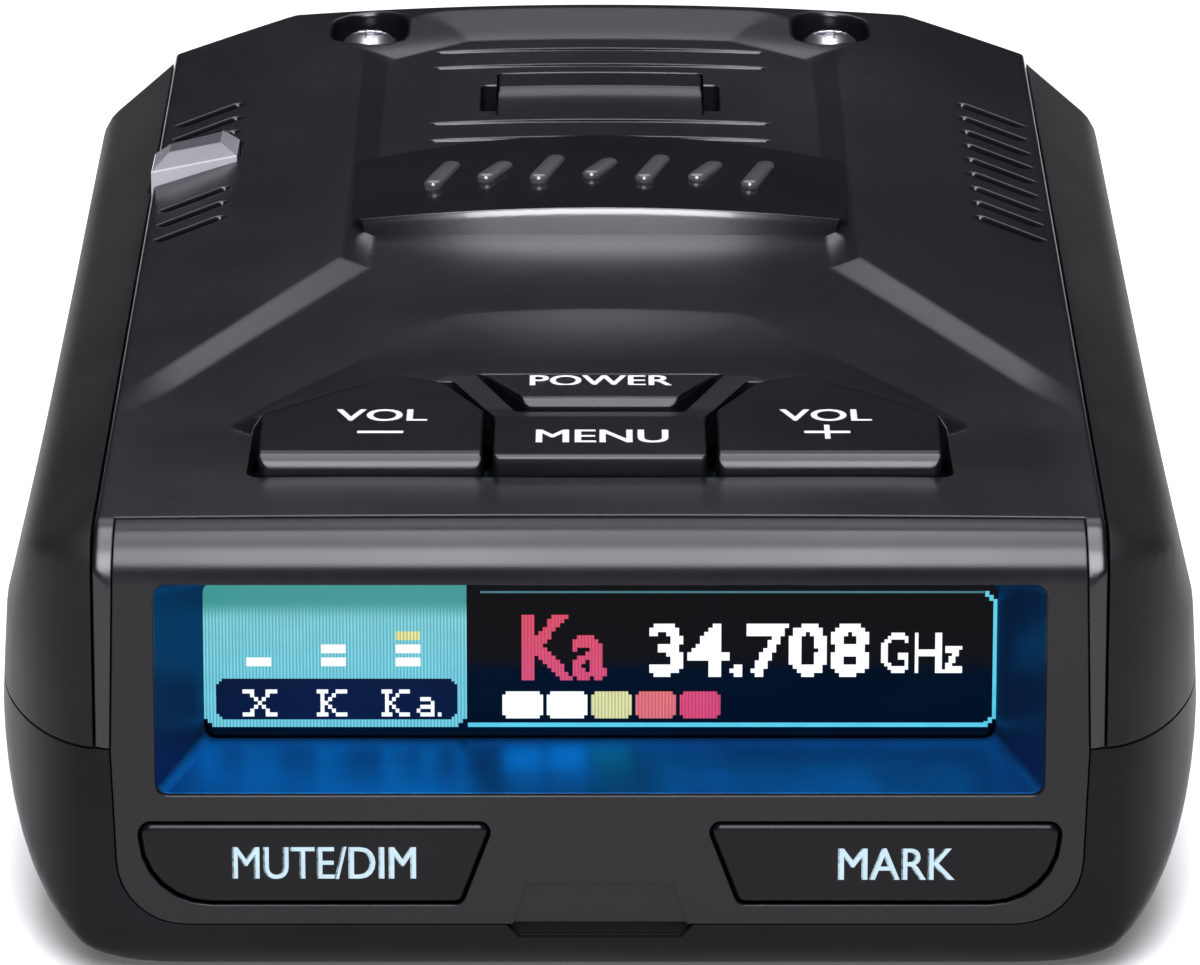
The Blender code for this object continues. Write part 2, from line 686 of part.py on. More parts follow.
def horn_antenna():
    """A hollow sheet-metal pyramid, open to the windscreen."""
    def ring(y, half, low, high):
        return [(-half, y, low), (half, y, low), (half, y, high), (-half, y, high)]
    horn = loft([ring(27.0, 5.0, 7.5, 13.0), ring(55.3, 13.6, 6.6, 14.6)])
    cut(horn, loft([ring(28.5, 4.2, 8.3, 12.2), ring(56.3, 12.9, 7.4, 13.8)]))
    piece(settle(horn), "horn_antenna", "tin_plate")
    lid = box((-12.6, 2.0, 11.8), (6.6, 24.0, 16.2), 0.4, 2)
    cut(lid, box((-12.0, 2.6, 10), (6.0, 23.4, 15.6)))
    piece(settle(lid), "rf_shield", "tin_plate")


def lasers():
    face = BACK - 0.35
    piece(box((-6.0, face - 2.2, 16.0), (6.0, face, 21.0), 0.4, 2), "front_laser_lens", "clear_acrylic")
    piece(box((-2.5, 50.0, 16.4), (2.5, 54.6, 20.6), 0.2, 1), "front_laser_sensor", "gloss_black")
    crystal = plate(PRISM, 23.5, 30.35)
    edge = crystal.modifiers.new("chamfer", "BEVEL")
    edge.width = 0.5 * MM
    edge.segments = 1
    edge.angle_limit = math.radians(50)
    piece(crystal, "rear_laser_prism", "clear_acrylic")
    piece(box((-28.4, 16.0, 18.5), (-24.8, 21.6, 23.1), 0.2, 1), "rear_laser_sensor", "gloss_black")


def speaker(centre=(20.0, 14.0)):
    """A small round speaker under the right-hand slots, facing up."""
    base = MAIN_BOARD[1] + GAP
    basket = drum(centre, 9.0, base + 1.8, base + 5.0, sides=32)
    cut(basket, drum(centre, 8.0, base + 2.8, base + 6.0, sides=32))
    join(basket, drum(centre, 4.6, base, base + 2.4, sides=24))
    piece(settle(basket), "speaker_basket", "steel")
    cone = drum(centre, 2.4, base + 3.2, base + 4.8, sides=32, end_radius=7.7)
    cut(cone, drum(centre, 1.2, base + 3.8, base + 5.4, sides=32, end_radius=7.9))
    piece(settle(cone), "speaker_cone", "paper_cone")
    gasket = drum(centre, 9.0, base + 5.3, base + 6.5, sides=32)
    cut(gasket, drum(centre, 7.6, base + 5.0, base + 7.0, sides=32))
    piece(settle(gasket), "speaker_gasket", "foam")


def sockets():
    power = box((21.0, -25.0, 5.7), (32.6, -13.0, 13.7))
    cut(power, box((22.6, -23.9, 6.6), (34, -14.1, 12.8)))
    piece(settle(power), "power_socket", "key_plastic")
    audio = join(box((23.0, -7.0, 5.7), (30.5, -1.0, 12.4)), drum((-4.0, 9.4), 2.8, 30, 33.9, axis="X"))
    cut(audio, drum((-4.0, 9.4), 1.8, 25, 35, axis="X", sides=20))
    piece(settle(audio), "audio_socket", "key_plastic")
    usb = box((-33.6, -22.0, 8.6), (-25.0, -13.2, 11.6), 0.3, 1)
    cut(usb, box((-35, -21.4, 9.2), (-26.0, -13.8, 11.0)))
    piece(settle(usb), "usb_socket", "steel")
    piece(box((-27.0, -16.0, 16.0), (-12.0, -1.0, 19.6), 0.4, 1), "gps_patch", "ceramic")


def screw(name, spot, low, head_low, head_radius=1.9, down=False):
    """A cross-recessed screw: shaft from low to its head; down turns its head to the underside."""
    x, y = spot
    head_high = head_low + 1.1
    if down:
        shaft = drum(spot, 0.85, head_high - 0.4, low, sides=12)
        head = drum(spot, head_radius, head_low, head_high, sides=20)
        slots = (head_low - 1, head_low + 0.5)
    else:
        shaft = drum(spot, 0.85, low, head_low + 0.4, sides=12)
        head = drum(spot, head_radius, head_low, head_high, sides=20)
        slots = (head_high - 0.5, head_high + 1)
    join(head, shaft)
    cut(head, box((x - 1.0, y - 0.25, slots[0]), (x + 1.0, y + 0.25, slots[1])))
    cut(head, box((x - 0.25, y - 1.0, slots[0]), (x + 0.25, y + 1.0, slots[1])))
    piece(settle(head), name, "steel")


def screws():
    for number, (x, y) in enumerate(((-25, -34), (25, -34), (-25, 38), (25, 38)), 1):
        screw(f"case_screw_{number}", (x, y), 14.0, 2.6, down=True)
    screw("left_top_screw", (-16.0, 52.4), 24.0, 29.3, head_radius=1.8)
    screw("right_top_screw", (16.0, 52.4), 24.0, 29.3, head_radius=1.8)
    for number, x in enumerate((-12.0, 12.0), 1):
        screw(f"board_screw_{number}", (x, -36.0), 4.4, 5.7, head_radius=1.7)


def main():
    outer = case_form(0.0, 0.0, 0.0)
    inner = case_form(SIDE_WALL, TOP_WALL, SIDE_WALL)
    top_cover(outer, inner)
    side_panel(outer, inner, -1)
    side_panel(outer, inner, 1)
    lower_case(outer, inner)
    front_bezel(outer, inner)
    antenna_window()
    badge_plate()
    display_shroud()
    display_pieces()
    keys()
    bracket_release()
    main_board()
    small_boards()
    horn_antenna()
    lasers()
    speaker()
    sockets()
    screws()


clear_scene()
PARTS = collection("radar_detector")
CUTTERS = collection("cutters")
main()
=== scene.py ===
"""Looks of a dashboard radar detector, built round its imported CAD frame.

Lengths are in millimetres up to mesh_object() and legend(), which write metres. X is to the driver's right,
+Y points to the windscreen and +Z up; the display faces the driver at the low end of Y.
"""

import json
import math

import bmesh
import bpy
import numpy as np
from mathutils import Matrix, Vector
from mathutils.bvhtree import BVHTree


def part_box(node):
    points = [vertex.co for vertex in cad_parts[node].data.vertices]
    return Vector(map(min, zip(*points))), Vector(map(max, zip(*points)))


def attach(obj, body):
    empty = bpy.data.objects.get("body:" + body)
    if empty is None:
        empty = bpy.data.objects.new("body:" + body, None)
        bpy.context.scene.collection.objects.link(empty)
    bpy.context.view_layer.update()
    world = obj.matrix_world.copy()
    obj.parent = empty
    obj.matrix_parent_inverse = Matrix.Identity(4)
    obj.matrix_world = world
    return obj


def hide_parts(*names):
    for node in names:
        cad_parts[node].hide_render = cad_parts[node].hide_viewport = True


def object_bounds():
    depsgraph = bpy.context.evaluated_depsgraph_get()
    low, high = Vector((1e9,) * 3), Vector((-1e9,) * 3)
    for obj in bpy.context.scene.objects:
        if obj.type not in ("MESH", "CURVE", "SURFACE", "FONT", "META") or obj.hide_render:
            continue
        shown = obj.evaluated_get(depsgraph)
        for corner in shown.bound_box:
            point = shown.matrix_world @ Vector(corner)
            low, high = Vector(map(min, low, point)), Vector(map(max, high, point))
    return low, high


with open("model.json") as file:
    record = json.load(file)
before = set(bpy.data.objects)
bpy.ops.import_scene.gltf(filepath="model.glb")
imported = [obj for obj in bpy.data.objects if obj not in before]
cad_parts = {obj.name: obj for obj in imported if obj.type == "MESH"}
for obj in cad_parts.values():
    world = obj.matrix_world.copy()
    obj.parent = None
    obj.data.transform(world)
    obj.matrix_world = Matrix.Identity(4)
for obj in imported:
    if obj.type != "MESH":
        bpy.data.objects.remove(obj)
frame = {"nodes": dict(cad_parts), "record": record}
CAD_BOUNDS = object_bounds()

MM = 0.001
LOW, HIGH = (corner / MM for corner in CAD_BOUNDS)
FRONT, BACK, HALF = LOW.y, HIGH.y, HIGH.x


def extent(node):
    """Lowest and highest corner of a CAD node, in mm."""
    return tuple(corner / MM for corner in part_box(node))


# ---- driving sizes

HOOD_Y = FRONT + 3.5          # where the top rolls over into the bezel
BROW, CHIN, HEEL = 3.5, 4.0, 2.5      # radii seen from the side
SEAM_X = 28.9                 # seam between top cover and side panels
SEAM_HEIGHT, SEAM_SLOPE = 26.9, 0.02515
RIDGE_HEIGHT, RIDGE_FRONT, RIDGE_BACK = 24.8, 33.0, 34.5
SHOULDER, TUCK = 19.5, 0.3    # where the flank starts to lean in, and by how much it has by there
WAIST = 13.0
FOOT_HALF = 24.0
SPLIT = [(-62.0, 13.9), (-44.0, 14.9), (62.0, 15.4)]
CROWN = [(-60, 0.05), (-49, 0.35), (-40, 0.75), (-30, 1.1), (-20, 1.35), (-10, 1.5), (60, 1.7)]
SEAM_GAP = 0.14
SIDE_SWELL = 0.28             # what the softened flank edges would take off the width
PLATEAU = 28.4                # height of the key tops
RECESS = 0.75                 # depth of the channel
WINDOW = (25.4, 11.35, 23.85)
SCREEN = (23.2, 10.8, 20.4)
SCREEN_Y = -45.0
SHROUD_LIP = FRONT + 0.42
SLOT_Z = (24.4, 28.0)
SLOT_HALF, SLOT_START = 13.0, 27.5


# ---- outlines

def rounded(corners, steps=5):
    """An outline from (x, y, radius) corners, each corner turned into an arc."""
    outline = []
    for i, (x, y, radius) in enumerate(corners):
        here = Vector((x, y))
        if not radius:
            outline.append((x, y))
            continue
        back = (Vector(corners[i - 1][:2]) - here).normalized()
        ahead = (Vector(corners[(i + 1) % len(corners)][:2]) - here).normalized()
        half = back.angle(ahead) / 2
        centre = here + (back + ahead).normalized() * radius / math.sin(half)
        start = here + back * radius / math.tan(half) - centre
        end = here + ahead * radius / math.tan(half) - centre
        sweep = start.angle_signed(end)
        for step in range(steps + 1):
            arm = start.copy()
            arm.rotate(Matrix.Rotation(-sweep * step / steps, 2))
            outline.append(tuple(centre + arm))
    return outline


def rectangle(x0, y0, x1, y1, radius=0.0, steps=5):
    return rounded([(x0, y0, radius), (x1, y0, radius), (x1, y1, radius), (x0, y1, radius)], steps)


def quarter(steps):
    """(1 - sin, 1 - cos) of evenly spaced angles from 0 to 90 degrees, for rounding an edge."""
    angles = [math.radians(90 * step / steps) for step in range(steps + 1)]
    return [(1 - math.sin(angle), 1 - math.cos(angle)) for angle in angles]


def grown(outline, margin):
    """An anticlockwise outline moved outward by margin."""
    moved = []
    for i, point in enumerate(outline):
        before = Vector(point) - Vector(outline[i - 1])
        after = Vector(outline[(i + 1) % len(outline)]) - Vector(point)
        sides = [Vector((edge.y, -edge.x)).normalized() for edge in (before, after)]
        outward = (sides[0] + sides[1]).normalized()
        moved.append(tuple(Vector(point) + outward * margin / max(outward.dot(sides[0]), 0.4)))
    return moved


def mirrored(outline):
    return [(-x, y) for x, y in reversed(outline)]


def both_sides(half):
    """A closed outline from its right half, listed anticlockwise."""
    return half + mirrored(half)


def circle(centre, radius, sides=40):
    return [(centre[0] + radius * math.cos(2 * math.pi * i / sides),
             centre[1] + radius * math.sin(2 * math.pi * i / sides)) for i in range(sides)]


def signed_distance(u, v, outline):
    """Distance to an outline, negative inside it. Its points may be arrays that vary with u and v."""
    nearest = np.full(np.shape(u), 1e9)
    inside = np.zeros(np.shape(u), bool)
    for i, (bx, by) in enumerate(outline):
        ax, ay = outline[i - 1]
        ex, ey = bx - ax, by - ay
        wx, wy = u - ax, v - ay
        along = np.clip((wx * ex + wy * ey) / (ex * ex + ey * ey), 0, 1)
        nearest = np.minimum(nearest, (wx - ex * along) ** 2 + (wy - ey * along) ** 2)
        rise = np.where(np.abs(ey) < 1e-9, 1e-9, ey)
        inside ^= ((ay > v) != (by > v)) & (u < ex * (v - ay) / rise + ax)
    return np.where(inside, -1, 1) * np.sqrt(nearest)


def smooth_max(a, b, blend):
    return np.maximum(a, b) + np.maximum(blend - np.abs(a - b), 0) ** 2 / (4 * blend)


def smooth_step(value):
    value = np.clip(value, 0, 1)
    return value * value * (3 - 2 * value)


def eased(table, softness=2.0):
    """A table of (position, value) as a smooth function."""
    places, values = np.array(table, float).T
    fine = np.arange(places[0] - 10, places[-1] + 10, 0.25)
    reach = np.arange(-4 * softness, 4 * softness + 0.1, 0.25)
    bell = np.exp(-reach ** 2 / (2 * softness ** 2))
    padded = np.pad(np.interp(fine, places, values), len(reach) // 2, mode="edge")
    soft = np.convolve(padded, bell / bell.sum(), "valid")[: len(fine)]
    return lambda at: np.interp(at, fine, soft)


# ---- the outer form

def seam_z(y):
    return SEAM_HEIGHT + SEAM_SLOPE * (y - HOOD_Y)


crown = eased(CROWN, 3.0)


def crown_z(x, y):
    """Height of the plain crowned top."""
    return seam_z(y) + crown(y) * (1 - (x / SEAM_X) ** 2)


def corner_curve(steps):
    """The driver's end corner seen from above."""
    start, pull, end = Vector((28.0, FRONT)), Vector((33.2, FRONT + 1.5)), Vector((HALF, FRONT + 13.5))
    return [tuple(start * (1 - t) ** 2 + pull * 2 * t * (1 - t) + end * t ** 2)
            for t in (i / steps for i in range(steps + 1))]


TAIL = rounded([(HALF, 0, 0), (HALF, 49.3, 0.7), (29.7, 49.4, 0.8), (20.4, BACK, 6.0),
                (-20, BACK, 0)])[1:-1]
PLAN_HALF = corner_curve(16) + TAIL


def side_outline():
    """The case seen from the side: a rounded brow over the bezel and rounded lower edges."""
    hood = float(crown_z(0, HOOD_Y))
    outline = [(FRONT + CHIN * far, CHIN * near) for near, far in quarter(8)]
    outline += [(BACK - HEEL * near, HEEL * far) for near, far in quarter(6)]
    outline += [(BACK, 29.3), (BACK - 1.2, 30.9), (BACK - 1.6, 45), (HOOD_Y, 45)]
    return outline + [(FRONT + BROW * near, hood - BROW * far) for near, far in quarter(30)]


SIDE_OUTLINE = side_outline()


def belly(half, bottom, steps):
    """The rounded lower flank as (x, z), from the waist down to the underside."""
    angles = [math.radians(90 * step / steps) for step in range(steps + 1)]
    return [(FOOT_HALF + (half - FOOT_HALF) * math.cos(angle), WAIST - (WAIST - bottom) * math.sin(angle))
            for angle in angles]


def form_distance(x, y, z):
    """Signed distance, near enough, to the outer form with its edges softened."""
    x = np.abs(x)
    plan = signed_distance(x, y, [(-20, BACK), (-20, FRONT)] + PLAN_HALF) - SIDE_SWELL
    side = signed_distance(y, z, SIDE_OUTLINE)
    ridge = np.interp(y, [FRONT, BACK], [RIDGE_FRONT, RIDGE_BACK])
    lean = 20.0
    flank = [(-20, RIDGE_HEIGHT + lean), (-20, 0)] + belly(HALF + SIDE_SWELL, 0, 12)[::-1]
    flank += [(HALF - TUCK, SHOULDER), (ridge, RIDGE_HEIGHT),
              (ridge + (ridge - HALF + TUCK) * lean / (RIDGE_HEIGHT - SHOULDER), RIDGE_HEIGHT + lean)]
    body = signed_distance(x, z, flank)
    run, drop = ridge - SEAM_X, seam_z(y) - RIDGE_HEIGHT
    slope = ((x - SEAM_X) * drop + (z - seam_z(y)) * run) / np.hypot(run, drop)
    top = smooth_max(z - crown_z(x, y), slope, 0.4)
    section = smooth_max(body, top, 1.0)
    return smooth_max(smooth_max(section, plan, 1.0), side, 0.8)


def surface_net(function, low, high, pitch):
    """A closed mesh of quads over the zero level of a function that is symmetric in x."""
    axes = [np.arange(a, b + pitch, pitch) for a, b in zip(low, high)]
    grid = np.meshgrid(*axes, indexing="ij")
    half = len(axes[0]) // 2
    values = np.empty(grid[0].shape)
    values[half:] = function(*(part[half:] for part in grid))
    values[:half] = values[: -half - 1: -1]
    inside = values < 0
    offsets = [np.array((i, j, k)) for i in (0, 1) for j in (0, 1) for k in (0, 1)]

    def shifted(array, offset):
        return array[tuple(slice(o, array.shape[a] - 1 + o) for a, o in enumerate(offset))]

    filled = sum(shifted(inside, o).astype(int) for o in offsets)
    mixed = (filled > 0) & (filled < 8)
    index = np.full(mixed.shape, -1)
    index[mixed] = np.arange(mixed.sum())
    cells = np.argwhere(mixed)
    total, crossings = np.zeros(cells.shape), np.zeros(len(cells))
    for a in offsets:
        for axis in range(3):
            if a[axis]:
                continue
            b = a + np.eye(3, dtype=int)[axis]
            va, vb = (values[tuple((cells + o).T)] for o in (a, b))
            cross = (va < 0) != (vb < 0)
            share = np.where(cross, va / np.where(cross, va - vb, 1), 0)
            total += cross[:, None] * (a + share[:, None] * (b - a))
            crossings += cross
    points = np.array(low) + (cells + total / crossings[:, None]) * pitch
    faces = []
    for axis in range(3):
        u, v = [(1, 2), (2, 0), (0, 1)][axis]
        near = tuple(slice(0, -1) if a == axis else slice(None) for a in range(3))
        far = tuple(slice(1, None) if a == axis else slice(None) for a in range(3))
        change = inside[near] != inside[far]
        spots = np.argwhere(change)
        starts_inside = inside[near][tuple(spots.T)]
        unit = np.eye(3, dtype=int)
        corners = [index[tuple((spots - s).T)] for s in (0 * unit[u], unit[u], unit[u] + unit[v], unit[v])]
        quads = np.stack(corners, 1)
        quads[~starts_inside] = quads[~starts_inside][:, ::-1]
        faces.append(quads)
    return points, np.concatenate(faces)


def settled(points, function):
    """Points moved onto the function's zero level."""
    nudge = 0.01
    for _ in range(2):
        value = function(*points.T)
        slope = np.stack([
            (function(*(points + nudge * axis).T) - function(*(points - nudge * axis).T)) / (2 * nudge)
            for axis in np.eye(3)], 1)
        points = points - slope * np.clip(value / np.maximum((slope ** 2).sum(1), 0.3), -0.3, 0.3)[:, None]
    return points


# ---- meshes

def mesh_object(name, points, faces):
    mesh = bpy.data.meshes.new(name)
    mesh.from_pydata((np.asarray(points, float) * MM).tolist(), [], np.asarray(faces).tolist()
                     if isinstance(faces, np.ndarray) else faces)
    mesh.update()
    obj = bpy.data.objects.new(name, mesh)
    bpy.context.scene.collection.objects.link(obj)
    return obj


def loft(rings, name="loft"):
    """A closed solid through rings of equally many points, facing outward."""
    count = len(rings[0])
    points = [p for ring in rings for p in ring]
    faces = []
    for r in range(len(rings) - 1):
        for i in range(count):
            j = (i + 1) % count
            a, b = r * count, (r + 1) * count
            faces.append((a + i, a + j, b + j, b + i))
    faces += [tuple(range(count))[::-1], tuple(range(len(points) - count, len(points)))]
    obj = mesh_object(name, points, faces)
    bm = bmesh.new()
    bm.from_mesh(obj.data)
    flat = [f for f in bm.faces if len(f.verts) > 4]
    bmesh.ops.triangulate(bm, faces=flat)
    bmesh.ops.recalc_face_normals(bm, faces=bm.faces)
    if bm.calc_volume(signed=True) < 0:
        bmesh.ops.reverse_faces(bm, faces=bm.faces)
    bm.to_mesh(obj.data)
    bm.free()
    return obj


def stand(u, v, w, axis):
    """A point from its two outline coordinates and its place along an axis."""
    return {"Z": (u, v, w), "Y": (u, w, v), "X": (w, u, v)}[axis]


def prism(outline, low, high, axis="Z"):
    return loft([[stand(u, v, w, axis) for u, v in outline] for w in (low, high)])


def turned(outline, profile, axis="Z"):
    """A solid whose outline grows by margin at each place along an axis: profile is (margin, place)."""
    return loft([[stand(u, v, place, axis) for u, v in grown(outline, margin)] for margin, place in profile])


def soft_ends(low, high, edge):
    """The (margin, place) profile of a straight solid with its two ends rounded."""
    if not edge:
        return [(0, low), (0, high)]
    return [(-edge, low), (-edge * 0.3, low + edge * 0.3), (0, low + edge), (0, high - edge),
            (-edge * 0.3, high - edge * 0.3), (-edge, high)]


def block(low, high, edge=0.0):
    """A box with softened edges."""
    return turned(rectangle(*low[:2], *high[:2], edge * 1.01, 3), soft_ends(low[2], high[2], edge))


def drum(centre, radius, low, high, axis="Z", sides=40, edge=0.0):
    return turned(circle(centre, radius, sides), soft_ends(low, high, edge), axis)


def flare(outline, height, radius, low, high, steps=7):
    """A cutter that leaves the rim of its hole rounded, where the surface is at height(x, y)."""
    rings = [[(x, y, low) for x, y in outline]]
    for near, far in quarter(steps):
        ring = np.array(grown(outline, radius * far))
        level = height(ring[:, 0], ring[:, 1]) - radius * near
        rings.append([(x, y, z) for (x, y), z in zip(ring, level)])
    rings.append([(x, y, high) for x, y in grown(outline, radius * 1.02)])
    return loft(rings)


def cushion(outline, height, radius, low, steps=4):
    """The solid under a surface, within an outline, its upper rim rounded: for intersecting with a field."""
    rings = [[(x, y, low) for x, y in outline]]
    for step, (near, far) in enumerate(quarter(steps)):
        ring = np.array(grown(outline, -radius * far))
        level = height(ring[:, 0], ring[:, 1]) - radius * near + 0.002 * step
        rings.append([(x, y, z) for (x, y), z in zip(ring, level)])
    rings.append([(x, y, max(p[2] for p in rings[-1]) + 1) for x, y, _ in rings[-1]])
    return loft(rings)


def field(xs, ys, height, floor):
    """A solid between a flat floor and the surface height(x, y). xs may be one row per y."""
    ys = np.asarray(ys, float)
    xs = np.broadcast_to(xs, (len(ys), np.shape(xs)[-1]))
    rows, columns = xs.shape
    y = np.repeat(ys[:, None], columns, 1)
    top = np.stack([xs, y, height(xs, y)], -1).reshape(-1, 3)
    number = np.arange(rows * columns).reshape(rows, columns)
    quads = np.stack([number[:-1, :-1], number[:-1, 1:], number[1:, 1:], number[1:, :-1]], -1).reshape(-1, 4)
    rim = np.concatenate([number[0], number[1:, -1], number[-1, -2::-1], number[-2:0:-1, 0]])
    base = top[rim].copy()
    base[:, 2] = floor
    under = len(top) + np.arange(len(rim))
    walls = np.stack([np.roll(rim, -1), rim, under, np.roll(under, -1)], -1)
    faces = quads.tolist() + walls.tolist() + [under[::-1].tolist()]
    return mesh_object("field", np.concatenate([top, base]), faces)


def joined(obj, others, operation):
    """Applies one Boolean after another and removes the cutters."""
    for other in others:
        step = obj.modifiers.new(operation, "BOOLEAN")
        step.operation = operation
        step.solver = "MANIFOLD"
        step.object = other
    graph = bpy.context.evaluated_depsgraph_get()
    mesh = bpy.data.meshes.new_from_object(obj.evaluated_get(graph))
    obj.modifiers.clear()
    obj.data = mesh
    for other in others:
        bpy.data.objects.remove(other)
    return obj


def cut(obj, *others):
    return joined(obj, others, "DIFFERENCE")


def keep(obj, *others):
    return joined(obj, others, "INTERSECT")


def add(obj, *others):
    return joined(obj, others, "UNION")


def twin(obj):
    copy = bpy.data.objects.new(obj.name, obj.data.copy())
    bpy.context.scene.collection.objects.link(copy)
    return copy


def put(obj, name, look, body="housing", stands_for=(), crease=32):
    """Names a finished piece, gives it the look of that name and hangs it on its body."""
    obj.name = name
    obj.data.name = name
    obj.data.materials.clear()
    obj.data.materials.append(LOOKS[look])
    obj.data.shade_smooth()
    obj.data.set_sharp_from_angle(angle=math.radians(crease))
    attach(obj, body)
    if stands_for:
        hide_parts(*stands_for)
    return obj


# ---- materials

def shader(name):
    look = bpy.data.materials.new(name)
    look.use_nodes = True
    nodes = look.node_tree.nodes
    return look, nodes, look.node_tree.links, nodes["Principled BSDF"]


def settings(node, **inputs):
    """Sets a node's inputs; an underscore in a name stands for a space."""
    for name, value in inputs.items():
        node.inputs[name.replace("_", " ")].default_value = value
    return node


def new_node(nodes, kind, **inputs):
    return settings(nodes.new("ShaderNode" + kind), **inputs)


def noise(nodes, links, scale, detail=3.0, stretch=(1, 1, 1), low=0.3, high=0.7):
    """Noise in the object's own space, spread to 0..1. scale is in features per metre."""
    place = new_node(nodes, "TexCoord")
    mapping = new_node(nodes, "Mapping", Scale=stretch)
    texture = new_node(nodes, "TexNoise", Scale=scale, Detail=detail)
    spread = new_node(nodes, "MapRange", From_Min=low, From_Max=high)
    links.new(place.outputs["Object"], mapping.inputs["Vector"])
    links.new(mapping.outputs["Vector"], texture.inputs["Vector"])
    links.new(texture.outputs["Fac"], spread.inputs["Value"])
    return spread.outputs["Result"]


def ranged(nodes, links, value, low, high):
    spread = new_node(nodes, "MapRange", To_Min=low, To_Max=high)
    links.new(value, spread.inputs["Value"])
    return spread.outputs["Result"]


def blended(nodes, links, factor, first, second):
    """A mix of two colours, each a triple or another node's output."""
    mix = nodes.new("ShaderNodeMix")
    mix.data_type = "RGBA"
    for socket, colour in (("A", first), ("B", second)):
        if isinstance(colour, tuple):
            mix.inputs[socket].default_value = (*colour, 1)
        else:
            links.new(colour, mix.inputs[socket])
    links.new(factor, mix.inputs["Factor"])
    return mix.outputs["Result"]


def heightwise(nodes, links, source, low, high, shape="LINEAR"):
    """0..1 as the Z of a texture coordinate, "Object" or "Normal", runs from low to high."""
    place = new_node(nodes, "TexCoord")
    parts = new_node(nodes, "SeparateXYZ")
    spread = new_node(nodes, "MapRange", From_Min=low, From_Max=high)
    spread.interpolation_type = shape
    links.new(place.outputs[source], parts.inputs["Vector"])
    links.new(parts.outputs["Z"], spread.inputs["Value"])
    return spread.outputs["Result"]


def surface(name, colour, rough, metallic=0.0, vary=0.15, grain=9000.0, depth=0.004, stretch=(1, 1, 1),
            specular=0.5, coat=0.0, smudge=0.04):
    """A finish with mottled colour, smudged roughness, fine grain and softened edges."""
    look, nodes, links, base = shader(name)
    cloud = noise(nodes, links, 140.0, 4.0, stretch)
    light = tuple(min(1.0, c * (1 + vary)) for c in colour)
    dark = tuple(c * (1 - vary) for c in colour)
    links.new(blended(nodes, links, cloud, dark, light), base.inputs["Base Color"])
    smear = noise(nodes, links, 55.0, 5.0, (1, 0.6, 1))
    links.new(ranged(nodes, links, smear, rough - smudge, rough + smudge), base.inputs["Roughness"])
    settings(base, Metallic=metallic, Specular_IOR_Level=specular, Coat_Weight=coat, Coat_Roughness=0.04)
    fine = noise(nodes, links, grain, 2.0, stretch, 0.25, 0.75)
    bump = new_node(nodes, "Bump", Strength=0.5, Distance=depth * MM)
    links.new(fine, bump.inputs["Height"])
    soft_edge = new_node(nodes, "Bevel", Radius=0.12 * MM)
    soft_edge.samples = 4
    links.new(soft_edge.outputs["Normal"], bump.inputs["Normal"])
    links.new(bump.outputs["Normal"], base.inputs["Normal"])
    return look


def glowing(name, colour, strength=1.0, stripes=0.0, fade=None):
    """A lit surface: an uneven glow, fine vertical stripes like the columns of a display, and a fade upward
    given as (start, end, colour)."""
    look, nodes, links, base = shader(name)
    settings(base, Base_Color=(0.01, 0.01, 0.012, 1), Roughness=0.35)
    glow = noise(nodes, links, 900.0, 2.0)
    tint = blended(nodes, links, glow, tuple(c * 0.88 for c in colour), colour)
    if stripes:
        place = new_node(nodes, "TexCoord")
        wave = new_node(nodes, "TexWave", Scale=stripes)
        wave.bands_direction = "X"
        links.new(place.outputs["Object"], wave.inputs["Vector"])
        tint = blended(nodes, links, wave.outputs["Fac"], tint, tuple(c * 0.5 for c in colour))
    if fade:
        start, end, upper = fade
        rise = heightwise(nodes, links, "Object", start * MM, end * MM, "SMOOTHSTEP")
        tint = blended(nodes, links, rise, tint, upper)
    links.new(tint, base.inputs["Emission Color"])
    settings(base, Emission_Strength=strength)
    return look


def tunnel_look():
    """Glossy blue-black lining with painted light: its upward-facing floor is painted bright blue as a
    painted reflection of the display, over the soft mirroring of its own gloss; its walls stay dark navy, and
    a faint navy emission is a painted glow.
    """
    look = surface("tunnel", (0.006, 0.21, 0.62), 0.40, 1.0, depth=0.0004)
    nodes, links = look.node_tree.nodes, look.node_tree.links
    base = nodes["Principled BSDF"]
    painted_glare_tint = base.inputs["Base Color"].links[0].from_socket
    # painted reflection: faces turned up take the bright blue, faces turned sideways the dark navy
    level = heightwise(nodes, links, "Normal", 0.3, 0.8)
    links.new(blended(nodes, links, level, (0.010, 0.020, 0.040), painted_glare_tint), base.inputs["Base Color"])
    # the emission colour is a painted navy glow in the lining
    settings(base, Specular_Tint=(0.10, 0.60, 1.0, 1), Emission_Color=(0.002, 0.009, 0.032, 1),
             Emission_Strength=1.0)
    return look


def crystal(name):
    """Clear plastic with painted light: its sideways-facing bevels are painted pale as a painted highlight,
    and its level top is painted dark as painted shade.
    """
    look, nodes, links, base = shader(name)
    settings(base, Transmission_Weight=0.35, IOR=1.49)
    haze = noise(nodes, links, 400.0)
    links.new(ranged(nodes, links, haze, 0.03, 0.10), base.inputs["Roughness"])
    # painted highlight and shade: pale where the surface faces sideways, dark where it faces up
    level = heightwise(nodes, links, "Normal", 0.45, 0.98)
    painted_bevel_highlight = blended(nodes, links, haze, (0.66, 0.67, 0.70), (0.74, 0.75, 0.78))
    links.new(blended(nodes, links, level, painted_bevel_highlight, (0.10, 0.10, 0.11)), base.inputs["Base Color"])
    return look


